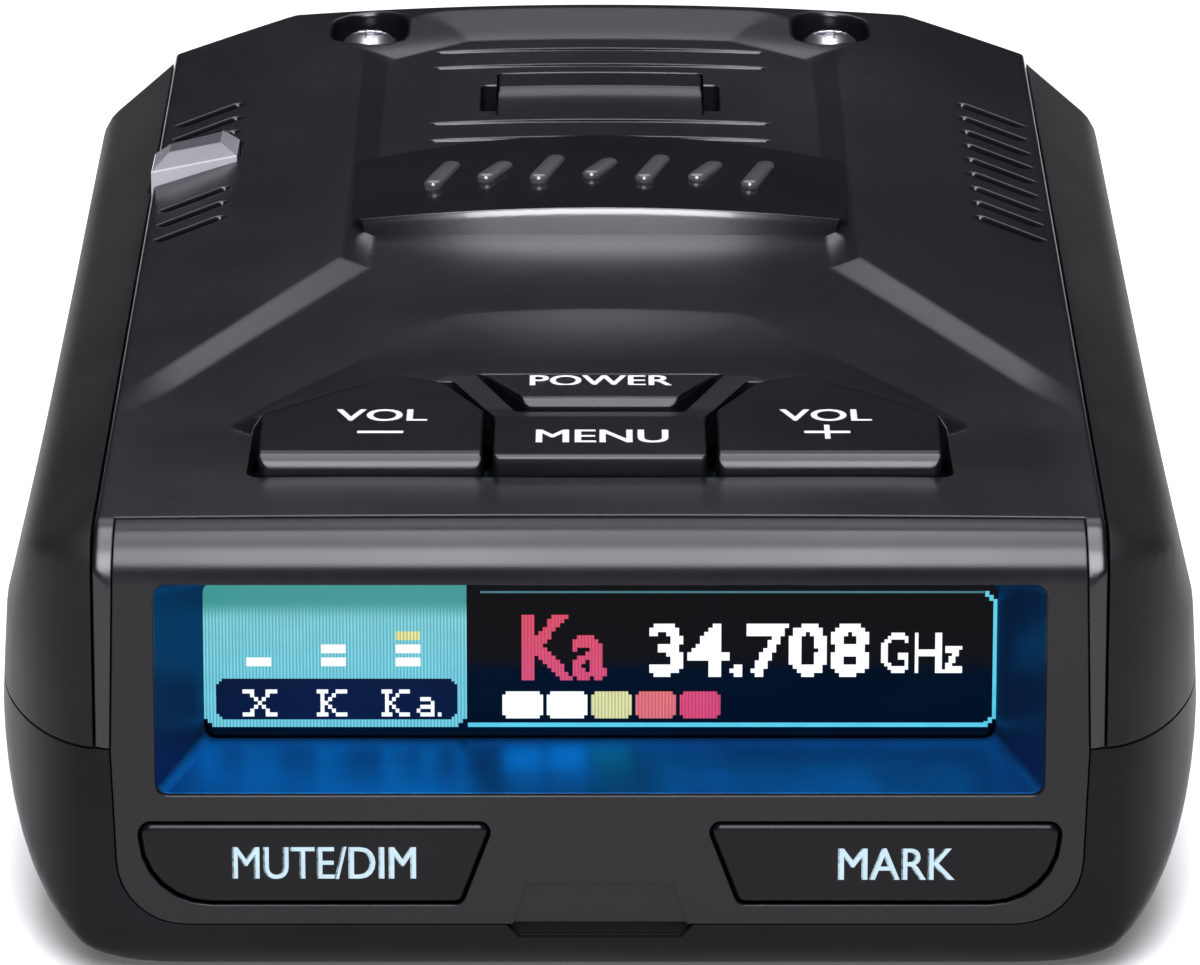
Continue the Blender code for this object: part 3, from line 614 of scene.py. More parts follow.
FINISHES = {
    "case_plastic": dict(colour=(0.0040, 0.0040, 0.0052), rough=0.25, depth=0.003, specular=0.42),
    "side_plastic": dict(colour=(0.0095, 0.0098, 0.0098), rough=0.42, depth=0.005, specular=0.05),
    "lower_plastic": dict(colour=(0.0062, 0.0062, 0.0070), rough=0.40, specular=0.05),
    "front_plastic": dict(colour=(0.0022, 0.0022, 0.0032), rough=0.28, depth=0.003, specular=0.27),
    "key_plastic": dict(colour=(0.0036, 0.0036, 0.0046), rough=0.24, depth=0.003, specular=0.26),
    "front_key": dict(colour=(0.0026, 0.0026, 0.0034), rough=0.26, depth=0.003, specular=0.14),
    "gloss_black": dict(colour=(0.0036, 0.0036, 0.0046), rough=0.16, depth=0.0006, coat=0.3, smudge=0.03),
    "bar_gloss": dict(colour=(0.05, 0.05, 0.052), rough=0.22, depth=0.0006, coat=0.4, smudge=0.03),
    "smoked_window": dict(colour=(0.0045, 0.0050, 0.0080), rough=0.09, depth=0.0005, smudge=0.03),
    "lens": dict(colour=(0.0015, 0.0015, 0.003), rough=0.12, depth=0.0004, specular=0.05, smudge=0.03),
    "screen": dict(colour=(0.006, 0.007, 0.012), rough=0.16, depth=0.0005, smudge=0.03),
    "unlit": dict(colour=(0.005, 0.008, 0.030), rough=0.2, depth=0.0005, specular=0.06, smudge=0.03),
    "print_white": dict(colour=(0.62, 0.63, 0.66), rough=0.55, vary=0.06, depth=0.002),
    "board": dict(colour=(0.015, 0.11, 0.045), rough=0.42, vary=0.3, depth=0.01),
    "steel": dict(colour=(0.36, 0.36, 0.38), rough=0.34, metallic=1.0, stretch=(1, 6, 1), grain=3000.0),
    "tin_plate": dict(colour=(0.58, 0.58, 0.56), rough=0.36, metallic=1.0, grain=3000.0),
    "cast_zinc": dict(colour=(0.40, 0.41, 0.43), rough=0.44, metallic=1.0, grain=4000.0, depth=0.02),
    "ceramic": dict(colour=(0.66, 0.60, 0.46), rough=0.62, grain=5000.0, depth=0.01),
    "ribbon": dict(colour=(0.40, 0.19, 0.03), rough=0.38, vary=0.3, stretch=(4, 1, 1)),
    "paper_cone": dict(colour=(0.030, 0.030, 0.032), rough=0.85, grain=2500.0, depth=0.05),
    "foam": dict(colour=(0.022, 0.022, 0.022), rough=0.95, grain=2500.0, depth=0.08),
}
DOT_STRIPES = 1600.0          # display columns, in waves per metre
GLOWS = {
    "lit_white": dict(colour=(0.95, 0.98, 1.0), strength=1.15),
    "lit_teal": dict(colour=(0.19, 0.70, 0.78), stripes=DOT_STRIPES, fade=(17.9, 19.2, (0.006, 0.26, 0.24))),
    "lit_dim": dict(colour=(0.02, 0.16, 0.20)),
    "lit_cyan": dict(colour=(0.10, 0.62, 0.80)),
    "lit_red": dict(colour=(0.85, 0.03, 0.09), stripes=DOT_STRIPES),
    "lit_orange": dict(colour=(0.95, 0.16, 0.09), stripes=DOT_STRIPES),
    "lit_yellow": dict(colour=(0.90, 0.88, 0.30), stripes=DOT_STRIPES),
    "lit_legend": dict(colour=(0.58, 0.78, 0.90), strength=1.05),
}
LOOKS = {name: surface(name, **finish) for name, finish in FINISHES.items()}
LOOKS |= {name: glowing(name, **glow) for name, glow in GLOWS.items()}
LOOKS |= {"clear_acrylic": crystal("clear_acrylic"), "tunnel": tunnel_look()}


# ---- relief of the top

CHANNEL_SIDE, CHANNEL_END = 15.4, 52.8
CHANNEL_HALF = [(-20, -40), (CHANNEL_SIDE, -40), (CHANNEL_SIDE, 46.6), (10.3, CHANNEL_END),
                (-20, CHANNEL_END)]
PLATEAU_HALF = rounded([(-20, -47.6, 0), (19.9, -47.6, 0), (19.9, -38.5, 0.3), (9.8, -26.9, 1.5),
                        (-20, -26.9, 0)])
BAND_HALF = rounded([(-20, -47.7, 0), (20.0, -47.7, 0), (20.0, -39.6, 0), (20.45, -39.2, 0),
                     (21.9, -37.6, 1.0), (18.4, -31.4, 3.0), (9.2, -17.3, 3.0), (-20, -17.3, 0)])
ARM_HALF = [(-1, -38.9), (6.3, -38.9), (9.9, -31.6), (9.2, -29.9), (7.0, -29.9), (4.4, -36.4), (-1, -36.4)]
CHAMFER_START, CHAMFER_RUN, CHAMFER_WIDTH = Vector((15.7, -3.5)), Vector((12.7, -27.0)), 1.915
centre_sink = eased([(-55, 0), (-49, -0.3), (-40, -0.3), (-30, -0.25), (-17.3, -0.04), (0, -RECESS),
                     (60, -RECESS)], 1.2)
outer_sink = eased([(-55, 0), (-46, -0.12), (-38, -0.4), (-17, -0.55), (0, -RECESS), (60, -RECESS)], 1.2)


def deck(x, y):
    """Height of the top with its channel, scoop, stepped band and key plateau."""
    x = np.abs(x)
    full = crown_z(x, y)
    sink = centre_sink(y) + (outer_sink(y) - centre_sink(y)) * smooth_step(x / 20)
    sink = sink * smooth_step((SEAM_X + 0.3 - x) / 4)
    width = 1.9 + 4.3 * smooth_step((y - 44) / 8)
    wall = np.clip(signed_distance(x, y, CHANNEL_HALF) / width + 0.5, 0, 1)
    across = Vector((-CHAMFER_RUN.y, CHAMFER_RUN.x)).normalized()
    beyond = (x - CHAMFER_START.x) * across.x + (y - CHAMFER_START.y) * across.y
    diagonal = np.clip(beyond / CHAMFER_WIDTH + 1, 0, 1)
    z = full + sink * (1 - np.minimum(wall, diagonal))
    inner = np.maximum(signed_distance(x, y, PLATEAU_HALF), 0)
    outer = np.maximum(-signed_distance(x, y, BAND_HALF), 0)
    share = inner / (inner + outer + 1e-6)
    z = PLATEAU * (1 - share) + z * share
    arm = smooth_step(-signed_distance(x, y, ARM_HALF) / 0.25) * np.clip((-29.9 - y) / 6.5, 0, 1)
    return z - 0.3 * arm


def cover_half(y):
    """Half the width of the top cover at y."""
    ys, xs = np.array(sorted((q, p) for p, q in TAIL)).T
    front_ys, front_xs = np.array([(q, p) for p, q in corner_curve(40)]).T
    seam = SEAM_X - SEAM_GAP / 2 + 0.6 * (y + 62) / 124
    return np.minimum(np.minimum(seam, np.interp(y, front_ys, front_xs)), np.interp(y, ys, xs))


def cover_top(x, y):
    z = deck(x, y)
    brow = BROW - np.sqrt(np.maximum(BROW ** 2 - np.maximum(HOOD_Y - y, 0) ** 2, 0))
    z = z - brow
    z = -smooth_max(-z, -(31.1 - 1.4 * (y - BACK + 1.35)), 0.4)
    lip = 0.3
    inset = np.clip(cover_half(y) - np.abs(x), 0, lip)
    return z - lip + np.sqrt(lip ** 2 - (lip - inset) ** 2)


def cavity():
    """The space inside the case, for thin walls."""
    side, top, bottom = 1.6, 2.2, 1.6
    rings = []
    for y in (FRONT - 2, -49, -40, -30, -20, -10, 20, BACK + 2):
        crown_line = [(x, float(crown_z(x, y)) - top) for x in (0, 7.5, 15, 22)]
        ridge = float(np.interp(y, [FRONT, BACK], [RIDGE_FRONT, RIDGE_BACK]))
        shoulder = [(SEAM_X - side * 0.4, seam_z(y) - top), (ridge - side, RIDGE_HEIGHT - top * 0.4),
                    (HALF - side - TUCK, SHOULDER), (HALF - side, WAIST)]
        right = crown_line + shoulder + belly(HALF - side, bottom, 5)[1:]
        left = [(-x, z) for x, z in reversed(right) if x > 0]
        rings.append([(x, y, z) for x, z in right + [(0, bottom)] + left])
    plan = grown([(-20, BACK), (-20, FRONT)] + PLAN_HALF, 0)[2:]
    return keep(loft(rings), prism(grown(both_sides(plan), -side), -2, 50),
                prism([(FRONT + side, -5), (BACK - side, -5), (BACK - side, 50), (FRONT + side, 50)], -40, 40,
                      "X"))


def above_split(margin):
    return [(y, z + margin) for y, z in SPLIT] + [(62, 60), (-62, 60)]


def below_split(margin):
    return [(-62, -5), (62, -5)] + [(y, z - margin) for y, z in reversed(SPLIT)]


def bezel_outline(margin=0.0):
    half = rounded([(22.0, 3.5, 0), (27.6, 3.5, 4.0), (28.0, 14.0, 0), (27.5, 34.0, 0)], 8)
    return grown(both_sides(half), margin)


# ---- keys of the deck

VOLUME_KEY = rounded([(6.85, -47.4, 0.45), (19.8, -47.4, 0.6), (19.92, -38.6, 0.2), (12.2, -29.75, 0),
                      (9.75, -31.3, 0.2), (9.35, -31.75, 0.2), (6.9, -37.8, 0.45)], 4)
KEYS_OPENING_HALF = rounded([(0, -47.85, 0), (20.5, -47.85, 0.9), (20.45, -38.9, 0.25), (19.97, -38.56, 0),
                             (12.22, -29.70, 0), (9.75, -31.22, 0.2), (8.75, -31.1, 0.3), (6.25, -37.9, 0.4),
                             (6.25, -38.6, 0.2), (0, -38.6, 0)], 4)[1:-1]
MENU_BAY = rectangle(-6.1, -46.0, 6.1, -38.6)
MENU_KEY = rectangle(-6.2, -47.5, 6.2, -38.95, 0.35, 4)
POWER_KEY = rounded([(-4.4, -36.5, 0.4), (4.4, -36.5, 0.4), (7.0, -29.7, 0.2), (-7.0, -29.7, 0.2)], 4)
POWER_OPENING = rounded([(-5.0, -36.9, 0.3), (5.0, -36.9, 0.3), (7.5, -29.65, 0.3), (-7.5, -29.65, 0.3)], 4)


def rolled(place, start, radius):
    """How far a surface has dropped where it rolls over towards lower values, from start."""
    reach = np.clip(start - place, 0, radius)
    return radius - np.sqrt(radius ** 2 - reach ** 2)


def volume_top(x, y):
    return PLATEAU - rolled(y, -46.25, 1.2) + 0 * x


def menu_top(x, y):
    return PLATEAU + 0.02 - rolled(y, -47.2, 0.3) - rolled(-y, 39.1, 0.15) + 0 * x


def power_top(x, y):
    rise = np.interp(y, [-36.6, -35.85, -35.65, -29.7], [28.28, 28.68, 28.72, PLATEAU + 0.01])
    return rise - 0.0006 * x ** 2


def deck_key(name, outline, top, rim=0.1):
    """A key with its flange under the cover, riding on its own body."""
    step = 0.15
    (x0, y0, z0), (x1, y1, _) = extent(name + "_key")
    xs, ys = np.arange(x0 - 2, x1 + 2 + step, step), np.arange(y0 - 2, y1 + 4, step)
    body = keep(field(xs, ys, top, 22.0), cushion(outline, top, rim, z0 + 0.2))
    add(body, block((x0, y0, z0), (x1, min(y1, -30.2), z0 + 0.8), 0.1))
    return put(body, name + "_cap", "key_plastic", name + "_button", [name + "_key"])


# ---- case pieces

BADGE = rounded([(-14.8, 1.8, 0.3), (-8, 0.9, 0), (0, 0.6, 0), (8, 0.9, 0), (14.8, 1.8, 0.3),
                 (15.75, 3.3, 0.3), (16.1, 17.8, 0.4), (8, 19.7, 0), (0, 20.3, 0), (-8, 19.7, 0),
                 (-16.1, 17.8, 0.4), (-15.75, 3.3, 0.3)], 3)
PRISM = [(-29.3, 15.6), (-23.9, 20.1), (-23.9, 24.6), (-24.9, 25.4), (-29.3, 20.6)]
GROOVES = (24.4, 28.65, 43.1, 47.3)
BUTTON_PIT = rectangle(-7.0, 30.2, 7.0, 41.2, 0.4, 3)
FINGER_HOLES = [rectangle(x - 0.85, 31.5, x + 0.85, 38.2, 0.4, 4) for x in (-7.2, 7.2)]
POCKETS = [(side * 16.0, 52.4) for side in (-1, 1)]
SLOT_COUNT, SLOT_PITCH = 9, 3.48
HIDDEN_SLOTS = (3, 4, 5)      # where the laser prism takes their place


def capsule(a, b, radius, steps=6):
    """A slot's outline with round ends, from a to b."""
    a, b = Vector(a), Vector(b)
    turn = math.atan2(b.y - a.y, b.x - a.x)
    ends = [(b, turn - math.pi / 2), (a, turn + math.pi / 2)]
    return [(centre.x + radius * math.cos(start + math.pi * i / steps),
             centre.y + radius * math.sin(start + math.pi * i / steps))
            for centre, start in ends for i in range(steps + 1)]


def button_top(x, y):
    ramp = np.interp(y, [30.4, 36.2, 37.2, 40.9], [29.72, 29.82, 30.24, 30.22])
    return ramp - 0.0022 * x ** 2


def top_cover(hollow):
    rows = [HOOD_Y - BROW * math.cos(math.radians(a)) for a in np.linspace(0, 90, 12)]
    rows += list(np.arange(HOOD_Y + 0.1, 56.5, 0.2)) + list(np.arange(56.5, BACK - 0.05, 0.1)) + [BACK]
    rim = [0.02, 0.06, 0.12, 0.2, 0.3]
    edges = [1 - d / SEAM_X for d in rim]
    middle = list(np.linspace(-edges[-1], edges[-1], 289))
    shares = np.array([-1] + [-e for e in edges[:-1]] + middle + edges[:-1][::-1] + [1])
    half = cover_half(np.array(rows))
    cover = field(half[:, None] * shares[None, :], rows, cover_top, 12.0)
    keep(cover, prism(above_split(SEAM_GAP / 2), -40, 40, "X"))
    cut(cover, hollow)
    add(cover, block((-14.6, 26.0, 23.0), (14.6, BACK - 1.1, 29.1)))
    add(cover, drum((0, 36), 3.5, 18.8, 23.5))
    cut(cover, prism(bezel_outline(0.05), -62, HOOD_Y + 0.05, "Y"),
        prism(rectangle(-SLOT_HALF, SLOT_Z[0], SLOT_HALF, SLOT_Z[1]), SLOT_START, 62, "Y"),
        drum((0, 36), 2.8, 19.6, 25.0),
        flare(both_sides(KEYS_OPENING_HALF), deck, 0.03, 18, 34),
        flare(POWER_OPENING, deck, 0.03, 18, 34),
        flare(BUTTON_PIT, deck, 0.04, 27.0, 34))
    cut(cover, flare(MENU_BAY, deck, 0.12, 20, 34))
    cut(cover, *(flare(hole, deck, 0.1, 23.5, 34) for hole in FINGER_HOLES))
    cut(cover, *(flare(capsule((-11.0, y), (11.0, y), 0.22), deck, 0.2, 28.2, 34) for y in GROOVES))
    cut(cover, *(flare(capsule((x, 51.0), (x, 53.9), 2.6), deck, 0.3, 29.0, 34, 5) for x, _ in POCKETS))
    cut(cover, *(drum((x, y), 1.35, 20, 30) for x, y in POCKETS))
    for side in (-1, 1):
        shown = [i for i in range(SLOT_COUNT) if side > 0 or i not in HIDDEN_SLOTS]
        ends = [((side * 24.4, 34.2 - SLOT_PITCH * i), (side * 28.0, 30.2 - SLOT_PITCH * i)) for i in shown]
        cut(cover, *(flare(capsule(*pair, 0.3), deck, 0.27, 22, 34) for pair in ends))
    cut(cover, flare(grown(PRISM, 0.2), deck, 0.15, 10, 34))
    cut(cover, window_plug(0.15))
    return put(cover, "cover_shell", "case_plastic", stands_for=["top_cover"])


def window_outline():
    return rectangle(-17, 7.5, 17, 22.2, 2, 6)


def window_plug(margin):
    return prism(grown(window_outline(), margin), BACK - 2.6, BACK + 2, "Y")


def side_panel(form, hollow, side):
    name = "right_side_panel" if side > 0 else "left_side_panel"
    start = SEAM_X + SEAM_GAP / 2
    region = [(start, -62), (60, -62), (60, 62), (start + 0.6, 62)]
    panel = keep(twin(form), prism(region if side > 0 else mirrored(region), 0, 50),
                 prism(above_split(SEAM_GAP / 2), -40, 40, "X"))
    cut(panel, twin(hollow))
    if side < 0:
        cut(panel, prism(grown(PRISM, 0.2), 10, 34))
    return put(panel, name + "_shell", "side_plastic", stands_for=[name])


def lower_case(form, hollow):
    case = keep(twin(form), prism(below_split(SEAM_GAP / 2), -40, 40, "X"))
    cut(case, twin(hollow), prism(bezel_outline(0.05), -62, HOOD_Y, "Y"), window_plug(0.15))
    for x in (-25.0, 25.0):
        for y in (-34.0, 38.0):
            add(case, drum((x, y), 2.9, 0.6, 6.6))
            cut(case, turned(circle((x, y), 2.3), [(0.25, -1), (0.25, 0), (0, 0.25), (0, 4.2)]),
                drum((x, y), 1.3, 3, 9))
    cut(case, prism(rectangle(-25.3, 5.4, -12.7, 14.0), 30, 40, "X"),
        drum((-4.0, 9.4), 3.1, 30, 40, "X"),
        prism(rectangle(-22.3, 8.3, -12.9, 11.9), -40, -30, "X"),
        prism([(-4.6, 2.6), (4.6, 2.6), (5.6, 3.7), (-5.6, 3.7)], FRONT - 1, FRONT + 0.9, "Y"))
    for x in (-12.0, 12.0):
        add(case, drum((x, -36.0), 2.2, 1.0, 4.1))
    return put(case, "lower_shell", "lower_plastic", stands_for=["lower_case"])


# ---- front

FRONT_KEY = rounded([(8.0, 4.85, 0.5), (26.2, 4.85, 4.0), (26.35, 9.6, 0.6), (6.2, 9.6, 0.5)], 6)


def rim_profile(radius, steps=4):
    """(inward, deeper) pairs round a quarter circle, from the front face into the depth."""
    return [(radius * near, radius * far) for near, far in quarter(steps)]


def front_hole(outline, radius, end):
    profile = [(radius, FRONT - 3)] + [(m, FRONT + d) for m, d in rim_profile(radius)] + [(0, end)]
    return turned(outline, profile, "Y")


def front_plug(outline, radius, face, end):
    return turned(outline, [(-m, face + d) for m, d in rim_profile(radius)] + [(0, end)], "Y")


def front_bezel(form, hollow):
    bezel = keep(twin(form), prism(bezel_outline(-0.05), -62, HOOD_Y, "Y"))
    cut(bezel, twin(hollow))
    width, bottom, top = WINDOW
    window = rectangle(-width, bottom, width, top, 0.7)
    seat = 1.1
    cut(bezel, front_hole(window, 0.3, -50),
        block((-width - seat, SHROUD_LIP - 0.05, bottom - seat), (width + seat, -50, top + seat)))
    for outline in (FRONT_KEY, mirrored(FRONT_KEY)):
        cut(bezel, front_hole(grown(outline, 0.16), 0.12, -50))
    notch = [(-5.2, 3.0), (5.2, 3.0), (4.2, 6.0), (-4.2, 6.0)]
    cut(bezel, prism(notch, -62, FRONT + 0.45, "Y"))
    return put(bezel, "bezel_shell", "front_plastic", stands_for=["front_bezel"])


def front_key(name, outline):
    inner = FRONT + 2.1
    key = front_plug(outline, 0.35, FRONT + 0.02, inner + 0.6)
    add(key, prism(grown(outline, 0.75), inner, inner + 0.7, "Y"))
    return put(key, name + "_cap", "front_key", name + "_button", [name + "_key"])


def shroud():
    """The tapered tunnel between the window and the screen."""
    def ring(y, half, bottom, top, wall):
        outline = rectangle(-half - wall, bottom - wall, half + wall, top + wall, 0.7 + wall, 4)
        return [(x, y, z) for x, z in outline]
    near, far = SHROUD_LIP, SCREEN_Y - 1.2
    tunnel = loft([ring(near, *WINDOW, 0.8), ring(far, *SCREEN, 0.8)])
    cut(tunnel, loft([ring(near - 0.01, *WINDOW, 0), ring(far + 0.01, *SCREEN, 0)]))
    return put(tunnel, "display_tunnel", "tunnel", stands_for=["display_shroud"])


# ---- what the display shows

PIXEL = 0.245
LIT_Y = SCREEN_Y - 0.93       # just in front of the display lens


def shown_plate(name, cells, look, lift=0.0):
    """Thin lit plates: cells are (x0, z0, x1, z1) on the screen."""
    return outlines_piece(name, [rectangle(*cell) for cell in cells], look, lift)


def outlines_piece(name, outlines, look, lift=0.0):
    obj = None
    thick = 0.03
    for outline in outlines:
        part = prism(outline, LIT_Y - lift - thick, LIT_Y - lift, "Y")
        obj = part if obj is None else absorbed(obj, part)
    return put(obj, name, look)


def absorbed(obj, other):
    """obj with other's mesh added to it."""
    bm = bmesh.new()
    bm.from_mesh(obj.data)
    bm.from_mesh(other.data)
    bm.to_mesh(obj.data)
    bm.free()
    bpy.data.objects.remove(other)
    return obj


def letters(text, bold=0.0):
    """Flat lettering as a mesh in XY, from the font that comes with Blender."""
    curve = bpy.data.curves.new("letters", "FONT")
    curve.body = text
    curve.offset = bold
    curve.resolution_u = 4
    flat = bpy.data.objects.new("letters", curve)
    bpy.context.scene.collection.objects.link(flat)
    graph = bpy.context.evaluated_depsgraph_get()
    mesh = bpy.data.meshes.new_from_object(flat.evaluated_get(graph))
    bpy.data.objects.remove(flat)
    bm = bmesh.new()
    bm.from_mesh(mesh)
    bmesh.ops.remove_doubles(bm, verts=bm.verts, dist=1e-5)
    return bm


def fitted(bm, x0, z0, x1, z1):
    low = Vector((min(v.co.x for v in bm.verts), min(v.co.y for v in bm.verts), 0))
    high = Vector((max(v.co.x for v in bm.verts), max(v.co.y for v in bm.verts), 0))
    for v in bm.verts:
        v.co.x = x0 + (v.co.x - low.x) / (high.x - low.x) * (x1 - x0)
        v.co.y = z0 + (v.co.y - low.y) / (high.y - low.y) * (z1 - z0)
    return bm


def pixel_word(name, text, spot, look, bold, pixel=PIXEL):
    """Lettering made of square lit pixels, sampled from the font."""
    x0, z0, x1, z1 = spot
    bm = fitted(letters(text, bold), *spot)
    tree = BVHTree.FromBMesh(bm)
    cells = []
    columns, rows = round((x1 - x0) / pixel), round((z1 - z0) / pixel)
    wide, tall = (x1 - x0) / columns, (z1 - z0) / rows
    for row in range(rows):
        start = None
        for column in range(columns + 1):
            centre = Vector((x0 + (column + 0.5) * wide, z0 + (row + 0.5) * tall, 1))
            lit = column < columns and tree.ray_cast(centre, Vector((0, 0, -1)))[0] is not None
            if lit and start is None:
                start = column
            if not lit and start is not None:
                cells.append((x0 + start * wide, z0 + row * tall, x0 + column * wide, z0 + (row + 1) * tall))
                start = None
    bm.free()
    return shown_plate(name, cells, look)


GLYPHS = {
    "X": ("###...###", "..#...#..", "...#.#...", "....#....", "...#.#...", "..#...#..", "###...###"),
    "K": ("###..###.", ".#..#....", ".#.#.....", ".##......", ".#.#.....", ".#..#....", "###..###."),
    "a": (".......", ".......", ".###...", "....#..", ".####..", "#...#..", ".####.#"),
}


def glyph_word(name, text, spot, look, lift):
    """Band letters with serifs, drawn dot by dot."""
    x0, z0, x1, z1 = spot
    rows = [" ".join(parts) for parts in zip(*(GLYPHS[letter] for letter in text))]
    wide, tall = (x1 - x0) / len(rows[0]), (z1 - z0) / len(rows)
    dots = [(x0 + c * wide, z1 - (r + 1) * tall, x0 + (c + 1.02) * wide, z1 - r * tall)
            for r, row in enumerate(rows) for c, mark in enumerate(row) if mark == "#"]
    return shown_plate(name, dots, look, lift)


def stepped(x0, z0, x1, z1, corner, steps=3):
    """A box outline whose corners are cut in steps, as pixels round them."""
    step = corner / steps
    quarter = []
    for i in range(steps):
        quarter += [(corner - step * i, step * i), (corner - step * (i + 1), step * i)]
    quarter.append((0, corner))
    outline = [(x0 + a, z0 + b) for a, b in reversed(quarter)]
    outline += [(x1 - a, z0 + b) for a, b in quarter]
    outline += [(x1 - a, z1 - b) for a, b in reversed(quarter)]
    outline += [(x0 + a, z1 - b) for a, b in quarter]
    return outline


def display():
    left, right = -SCREEN[0] - 0.05, SCREEN[0] + 0.05
    low, high = 11.42, 19.75
    teal_right = -7.8
    line = 0.26
    outlines_piece("panel_teal", [stepped(left, low, teal_right, 20.9, 0.75)], "lit_teal")
    outlines_piece("panel_pill", [stepped(-22.5, 11.9, -8.36, 14.4, 0.5)], "unlit", 0.05)
    shown_plate("border_lines", [(teal_right + 0.05, low, right - 0.7, low + line),
                                 (right - line, low + 0.7, right, high - 0.7)], "lit_cyan")
    shown_plate("border_top", [(teal_right + 0.8, high - 0.12, right - 0.8, high)], "lit_dim")
    corner = [(right - 0.75 + i * PIXEL, low + i * PIXEL,
               right - 0.75 + (i + 1) * PIXEL, low + (i + 1) * PIXEL + 0.1) for i in range(3)]
    shown_plate("border_corner", corner, "lit_cyan")
    top_corner = [(x0, low + high - z1, x1, low + high - z0) for x0, z0, x1, z1 in corner]
    shown_plate("border_top_corner", top_corner, "lit_cyan")
    bars, gold = [], []
    for column, x in enumerate((-20.7, -16.33, -11.96)):
        for row in range(column + 1):
            z = 15.17 + row * 0.80
            (gold if row == 2 else bars).append((x, z, x + 1.45, z + 0.52))
    shown_plate("strength_bars", bars, "lit_white", 0.05)
    shown_plate("strength_bar_top", gold, "lit_yellow", 0.05)
    for name, text, x0, x1 in (("band_x", "X", -20.95, -18.92), ("band_k", "K", -16.6, -14.6),
                               ("band_ka", "Ka", -12.8, -9.3)):
        glyph_word(name, text, (x0, 12.1, x1, 13.75), "lit_white", 0.1)
    pixel_word("band_red", "Ka", (-4.59, 14.29, 0.4, 18.3), "lit_red", 0.02)
    pixel_word("reading", "34.708", (2.89, 14.5, 15.74, 17.75), "lit_white", 0.022)
    pixel_word("unit", "GHz", (16.45, 14.74, 21.2, 17.2), "lit_white", 0.014, 0.2)
    for i, look in enumerate(("lit_white", "lit_white", "lit_yellow", "lit_orange", "lit_red")):
        x = -5.72 + 2.6 * i
        outlines_piece(f"level_block_{i + 1}", [stepped(x, 11.95, x + 2.38, 13.6, 0.4, 2)], look)


# ---- legends

HEAVIER = 0.1                 # printed strokes are widened by this


def legend(name, text, spot, plane, body, look):
    """Printed lettering on a flat top ("Z") or front ("Y") face at a height or depth."""
    axis, place = plane
    x0, z0, x1, z1 = spot
    bm = fitted(letters(text), x0, z0, x1 - HEAVIER, z1)
    second = bmesh.ops.duplicate(bm, geom=bm.verts[:] + bm.edges[:] + bm.faces[:])["geom"]
    for v in (part for part in second if isinstance(part, bmesh.types.BMVert)):
        v.co += Vector((HEAVIER, 0, 0.002))
    bmesh.ops.solidify(bm, geom=bm.faces[:], thickness=0.02)
    bmesh.ops.recalc_face_normals(bm, faces=bm.faces)
    for v in bm.verts:
        u, w, depth = v.co
        v.co = Vector((u, w, place + depth) if axis == "Z" else (u, place - depth, w)) * MM
    mesh = bpy.data.meshes.new(name)
    bm.to_mesh(mesh)
    bm.free()
    obj = bpy.data.objects.new(name, mesh)
    bpy.context.scene.collection.objects.link(obj)
    return put(obj, name, look, body)


def legends():
    legend("legend_power", "POWER", (-4.2, -32.75, 4.3, -30.5), ("Z", 28.56), "power_button", "print_white")
    legend("legend_menu", "MENU", (-3.75, -44.7, 4.0, -42.0), ("Z", PLATEAU + 0.03), "menu_button",
           "print_white")
    for side, body, x in ((-1, "volume_down_button", -12.86), (1, "volume_up_button", 13.3)):
        name = body.replace("_button", "")
        legend("legend_" + name, "VOL", (x - 2.7, -40.0, x + 2.7, -37.5), ("Z", PLATEAU + 0.01), body,
               "print_white")
        bar = block((x - 1.35, -42.6, PLATEAU - 0.05), (x + 1.35, -42.2, PLATEAU + 0.02))
        if side > 0:
            absorbed(bar, block((x - 0.16, -43.8, PLATEAU - 0.05), (x + 0.16, -40.9, PLATEAU + 0.021)))
        put(bar, "sign_" + name, "print_white", body)
    legend("legend_mute_dim", "MUTE/DIM", (-21.1, 6.3, -10.55, 8.25), ("Y", FRONT + 0.02), "mute_dim_button",
           "lit_legend")
    legend("legend_mark", "MARK", (13.65, 6.25, 20.35, 8.15), ("Y", FRONT + 0.02), "mark_button",
           "lit_legend")


# ---- smaller pieces

def badge_top(x, y):
    """A top bowed more than the case, falling steeply at a curved front edge."""
    top = 30.72 + 0.012 * (y - 2) - 1.05 * (x / 15.2) ** 2
    face = 29.0 + 3.0 * (y - 1.1 - 1.4 * (x / 15.7) ** 2)
    return -smooth_max(-top, -face, 0.3)


def badge():
    """A glossy plate with a steep, bowed front edge and a row of raised bars where a mark would be."""
    xs, ys = np.arange(-17, 17.1, 0.2), np.concatenate([np.arange(0.2, 4, 0.06), np.arange(4, 21, 0.25)])
    plate = keep(field(xs, ys, badge_top, 26), cushion(BADGE, badge_top, 0.1, 26.8))
    put(plate, "badge_gloss", "gloss_black", stands_for=["badge_plate"])
    for i in range(7):
        x = -10.2 + 3.4 * i
        half = 1.5 if i % 2 else 2.4
        y = 11.0
        outline = capsule((x - 0.55, y - half), (x + 0.55, y + half), 0.62)
        top = float(badge_top(x, y)) + (0.06 if i % 2 else 0.1)
        bar = turned(outline, [(0, top - 0.6), (0, top + 0.12), (-0.1, top + 0.28), (-0.3, top + 0.36)])
        put(bar, f"badge_bar_{i + 1}", "bar_gloss")


def prism_lens():
    (_, _, low), (_, _, high) = extent("rear_laser_prism")
    top = high
    body = turned(PRISM, [(0, low), (0, top - 0.85), (-0.06, top - 0.75), (-1.0, top - 0.06), (-1.1, top)])
    return put(body, "laser_prism", "clear_acrylic", stands_for=["rear_laser_prism"],
               crease=12)


